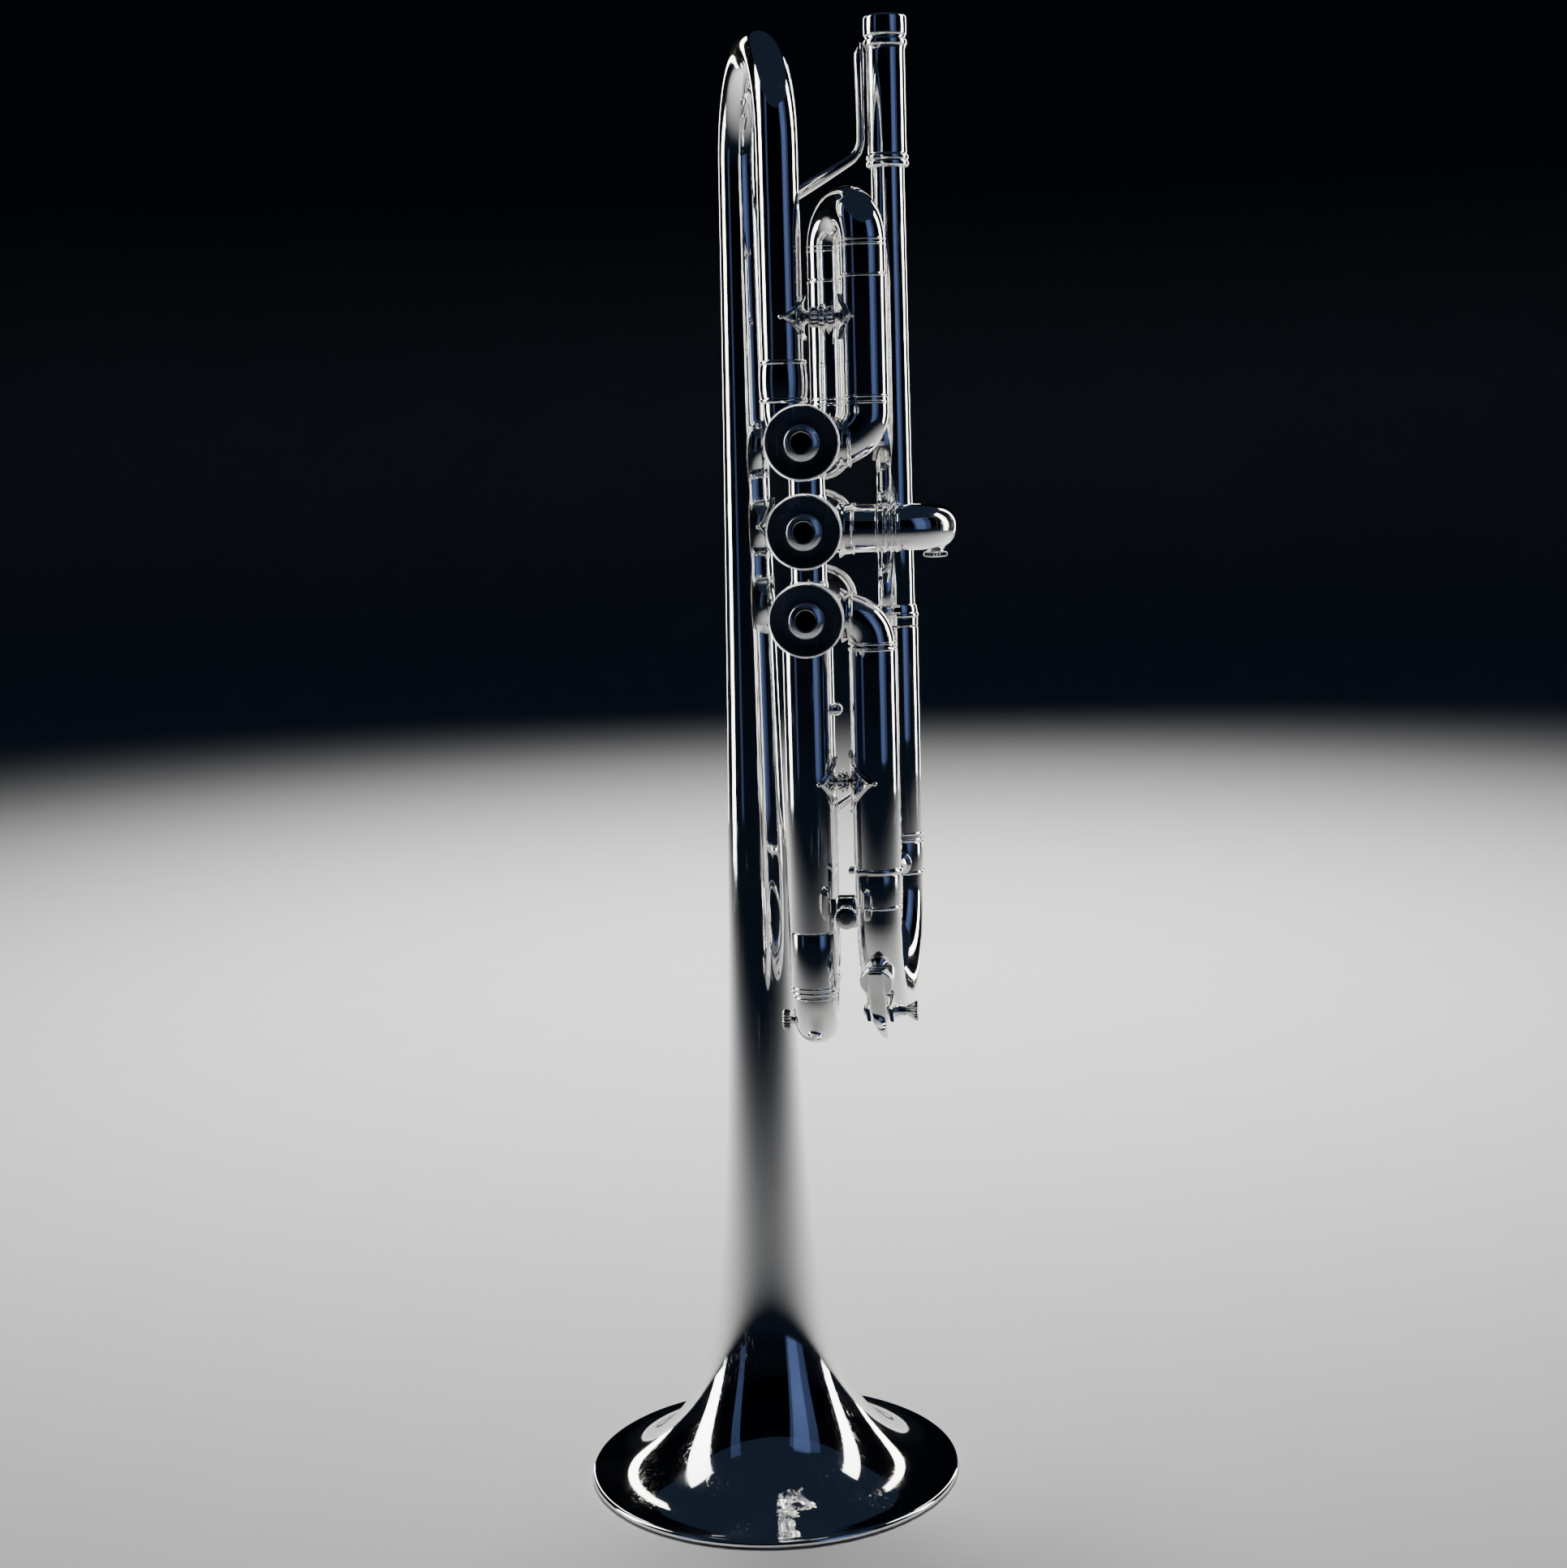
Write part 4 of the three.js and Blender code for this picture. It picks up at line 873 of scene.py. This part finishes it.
def make_spring(n, at):
    """A coil on the valve guide."""
    low, high = (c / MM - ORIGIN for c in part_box(f"valve_spring_{n}"))
    turns, coil, wire, per_turn = 5, 4.6, 0.45, 32
    rise = high.y - low.y - 2 * wire
    rings = []
    for k in range(turns * per_turn + 1):
        a, share = 2 * math.pi * k / per_turn, k / (turns * per_turn)
        radial = Vector((math.cos(a), 0, math.sin(a)))
        tangent = Vector((-math.sin(a) * coil, rise / (2 * math.pi * turns), math.cos(a) * coil)).normalized()
        spot = Vector((at.x, low.y + wire + rise * share, at.z)) + radial * coil
        rings.append((spot, tangent.cross(radial), radial, wire))
    rings = [(*rings[0][:3], 0)] + rings + [(*rings[-1][:3], 0)]
    points, faces = skin(rings, False, 12)
    spring = mesh_object(f"spring_{n}", points, faces, STEEL, BODY, f"valve_spring_{n}")
    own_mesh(spring)


def dress_hidden():
    for n in (1, 2, 3):
        for node in (f"piston_{n}", f"valve_guide_{n}"):
            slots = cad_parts[node].data.materials
            slots.clear()
            slots.append(NICKEL)


make_bell()
make_leadpipe()
for number, valve in enumerate(VALVES, 1):
    make_valve(number, valve)
    make_spring(number, valve)
crossover("12", VALVES[0], VALVES[1])
crossover("23", VALVES[1], VALVES[2])
make_first_slide()
make_second_slide()
make_third_slide()
make_tuning_slide()
make_water_key()
make_braces()
make_lyre_holder()
dress_hidden()


# ---------------------------------------------------------------- floor, light and camera

def backdrop_paper_painted_shade():
    """Pale paper whose colour is painted darker with height, to slate blue and near black up the curved wall:
    painted shade where the studio falls dark.
    """
    material, nodes, links = _nodes("backdrop_paper_painted_shade")
    shader = nodes["Principled BSDF"]
    place = nodes.new("ShaderNodeTexCoord")
    split = nodes.new("ShaderNodeSeparateXYZ")
    links.new(place.outputs["Object"], split.inputs["Vector"])
    grain = _noise(nodes, links, 30, detail=8)
    height = _math(nodes, links, "ADD", split.outputs["Z"], _math(nodes, links, "MULTIPLY", grain, 0.02))
    # painted shade: the paper's colour darkens from pale grey at the floor to near-black navy 0.9 m up
    links.new(_ramp(nodes, links, height, [(0.0, (0.72, 0.72, 0.725)), (0.12, (0.42, 0.43, 0.46)),
                                           (0.9, (0.03, 0.04, 0.065))]), shader.inputs["Base Color"])
    links.new(_ramp(nodes, links, grain, [(0.3, 0.62), (0.7, 0.78)]), shader.inputs["Roughness"])
    shader.inputs["Specular IOR Level"].default_value = 0.0
    return material


def make_floor():
    """A round floor of 3 m that curves up into a wall all round."""
    profile = [(3.0 * k / 20, 0.0) for k in range(21)]
    profile += [(3.0 + math.sin(a), 1 - math.cos(a)) for a in np.linspace(0, math.pi / 2, 25)[1:]]
    profile += [(4.0, 1.0 + 0.5 * k) for k in range(1, 6)]
    rings = [(Vector((0, 0, h / MM)), X, Y, r / MM) for r, h in profile]
    points, faces = skin(rings, False, 128)
    mesh = bpy.data.meshes.new("floor")
    mesh.from_pydata([tuple(Vector(p) * MM) for p in points], [], faces)
    mesh.polygons.foreach_set("use_smooth", [True] * len(mesh.polygons))
    mesh.materials.append(backdrop_paper_painted_shade())
    floor = bpy.data.objects.new("floor", mesh)
    bpy.context.scene.collection.objects.link(floor)


def softbox(name, azimuth, distance, height, size, radiance, spread=180, colour=(1, 1, 1),
            aim=(0, 0, 0.27), on_floor=True, mirrored=True):
    """A panel round the trumpet; azimuth 0 is the viewer's side and grows towards the right.

    on_floor: it lights matt surfaces. mirrored: it shows in the plating.
    """
    width, tall = size
    a = math.radians(azimuth)
    at = Vector((distance * math.sin(a), -distance * math.cos(a), height))
    light = bpy.data.lights.new(name, "AREA")
    light.shape, light.size, light.size_y = "RECTANGLE", width, tall
    light.energy, light.color = radiance * math.pi * width * tall, colour
    light.spread = math.radians(spread)
    lamp = bpy.data.objects.new(name, light)
    lamp.location = at
    lamp.rotation_euler = (Vector(aim) - at).to_track_quat("-Z", "Y").to_euler()
    lamp.visible_diffuse, lamp.visible_glossy = on_floor, mirrored
    bpy.context.scene.collection.objects.link(lamp)


def make_light():
    world = bpy.data.worlds.new("studio")
    world.use_nodes = True
    world.node_tree.nodes["Background"].inputs["Color"].default_value = (0.010, 0.016, 0.030, 1)
    world.node_tree.nodes["Background"].inputs["Strength"].default_value = 1.0
    bpy.context.scene.world = world
    white, warm, blue = (1.0, 0.985, 0.95), (1.0, 0.95, 0.84), (0.30, 0.44, 1.0)
    softbox("panel_left", -96, 1.15, 0.62, (0.42, 1.25), 4.4, 120, white, on_floor=False)
    softbox("panel_right", 104, 1.15, 0.62, (0.28, 1.25), 4.4, 120, white, on_floor=False)
    softbox("edge_left", -148, 1.3, 0.60, (0.13, 1.2), 5.0, 120, warm, on_floor=False)
    softbox("edge_right", 144, 1.3, 0.60, (0.15, 1.2), 5.0, 120, warm, on_floor=False)
    softbox("blue_right", 46, 1.5, 0.75, (1.0, 1.5), 0.05, 120, blue, on_floor=False)
    softbox("blue_core", 42, 1.45, 0.75, (0.52, 1.5), 0.075, 120, blue, on_floor=False)
    softbox("blue_left", -52, 1.5, 0.75, (0.30, 1.5), 0.05, 120, blue, on_floor=False)
    softbox("overhead", 180, 0.80, 1.9, (1.0, 1.0), 5.6, 68, white, aim=(0, 0.80, 0), mirrored=False)


def make_camera():
    """Eye level with the first valve, looking down a little, with a slight roll."""
    data = bpy.data.cameras.new("camera")
    image_width, focal_pixels = 1931, 2850
    data.sensor_width, data.lens = 36.0, 36.0 * focal_pixels / image_width
    camera = bpy.data.objects.new("camera", data)
    yaw, pitch, roll = math.radians(3.7), math.radians(7.7), math.radians(1.6)
    level = Vector((-math.sin(yaw), math.cos(yaw), 0))
    side = Vector((math.cos(yaw), math.sin(yaw), 0))
    ahead = level * math.cos(pitch) - Z * math.sin(pitch)
    above = level * math.sin(pitch) + Z * math.cos(pitch)
    right = side * math.cos(roll) - above * math.sin(roll)
    up = side * math.sin(roll) + above * math.cos(roll)
    eye = (ORIGIN + Vector((56.8, -739.9, 332))) * MM
    camera.matrix_world = Matrix((
        (right.x, up.x, -ahead.x, eye.x), (right.y, up.y, -ahead.y, eye.y),
        (right.z, up.z, -ahead.z, eye.z), (0, 0, 0, 1),
    ))
    bpy.context.scene.collection.objects.link(camera)
    bpy.context.scene.camera = camera


make_floor()
make_light()
make_camera()
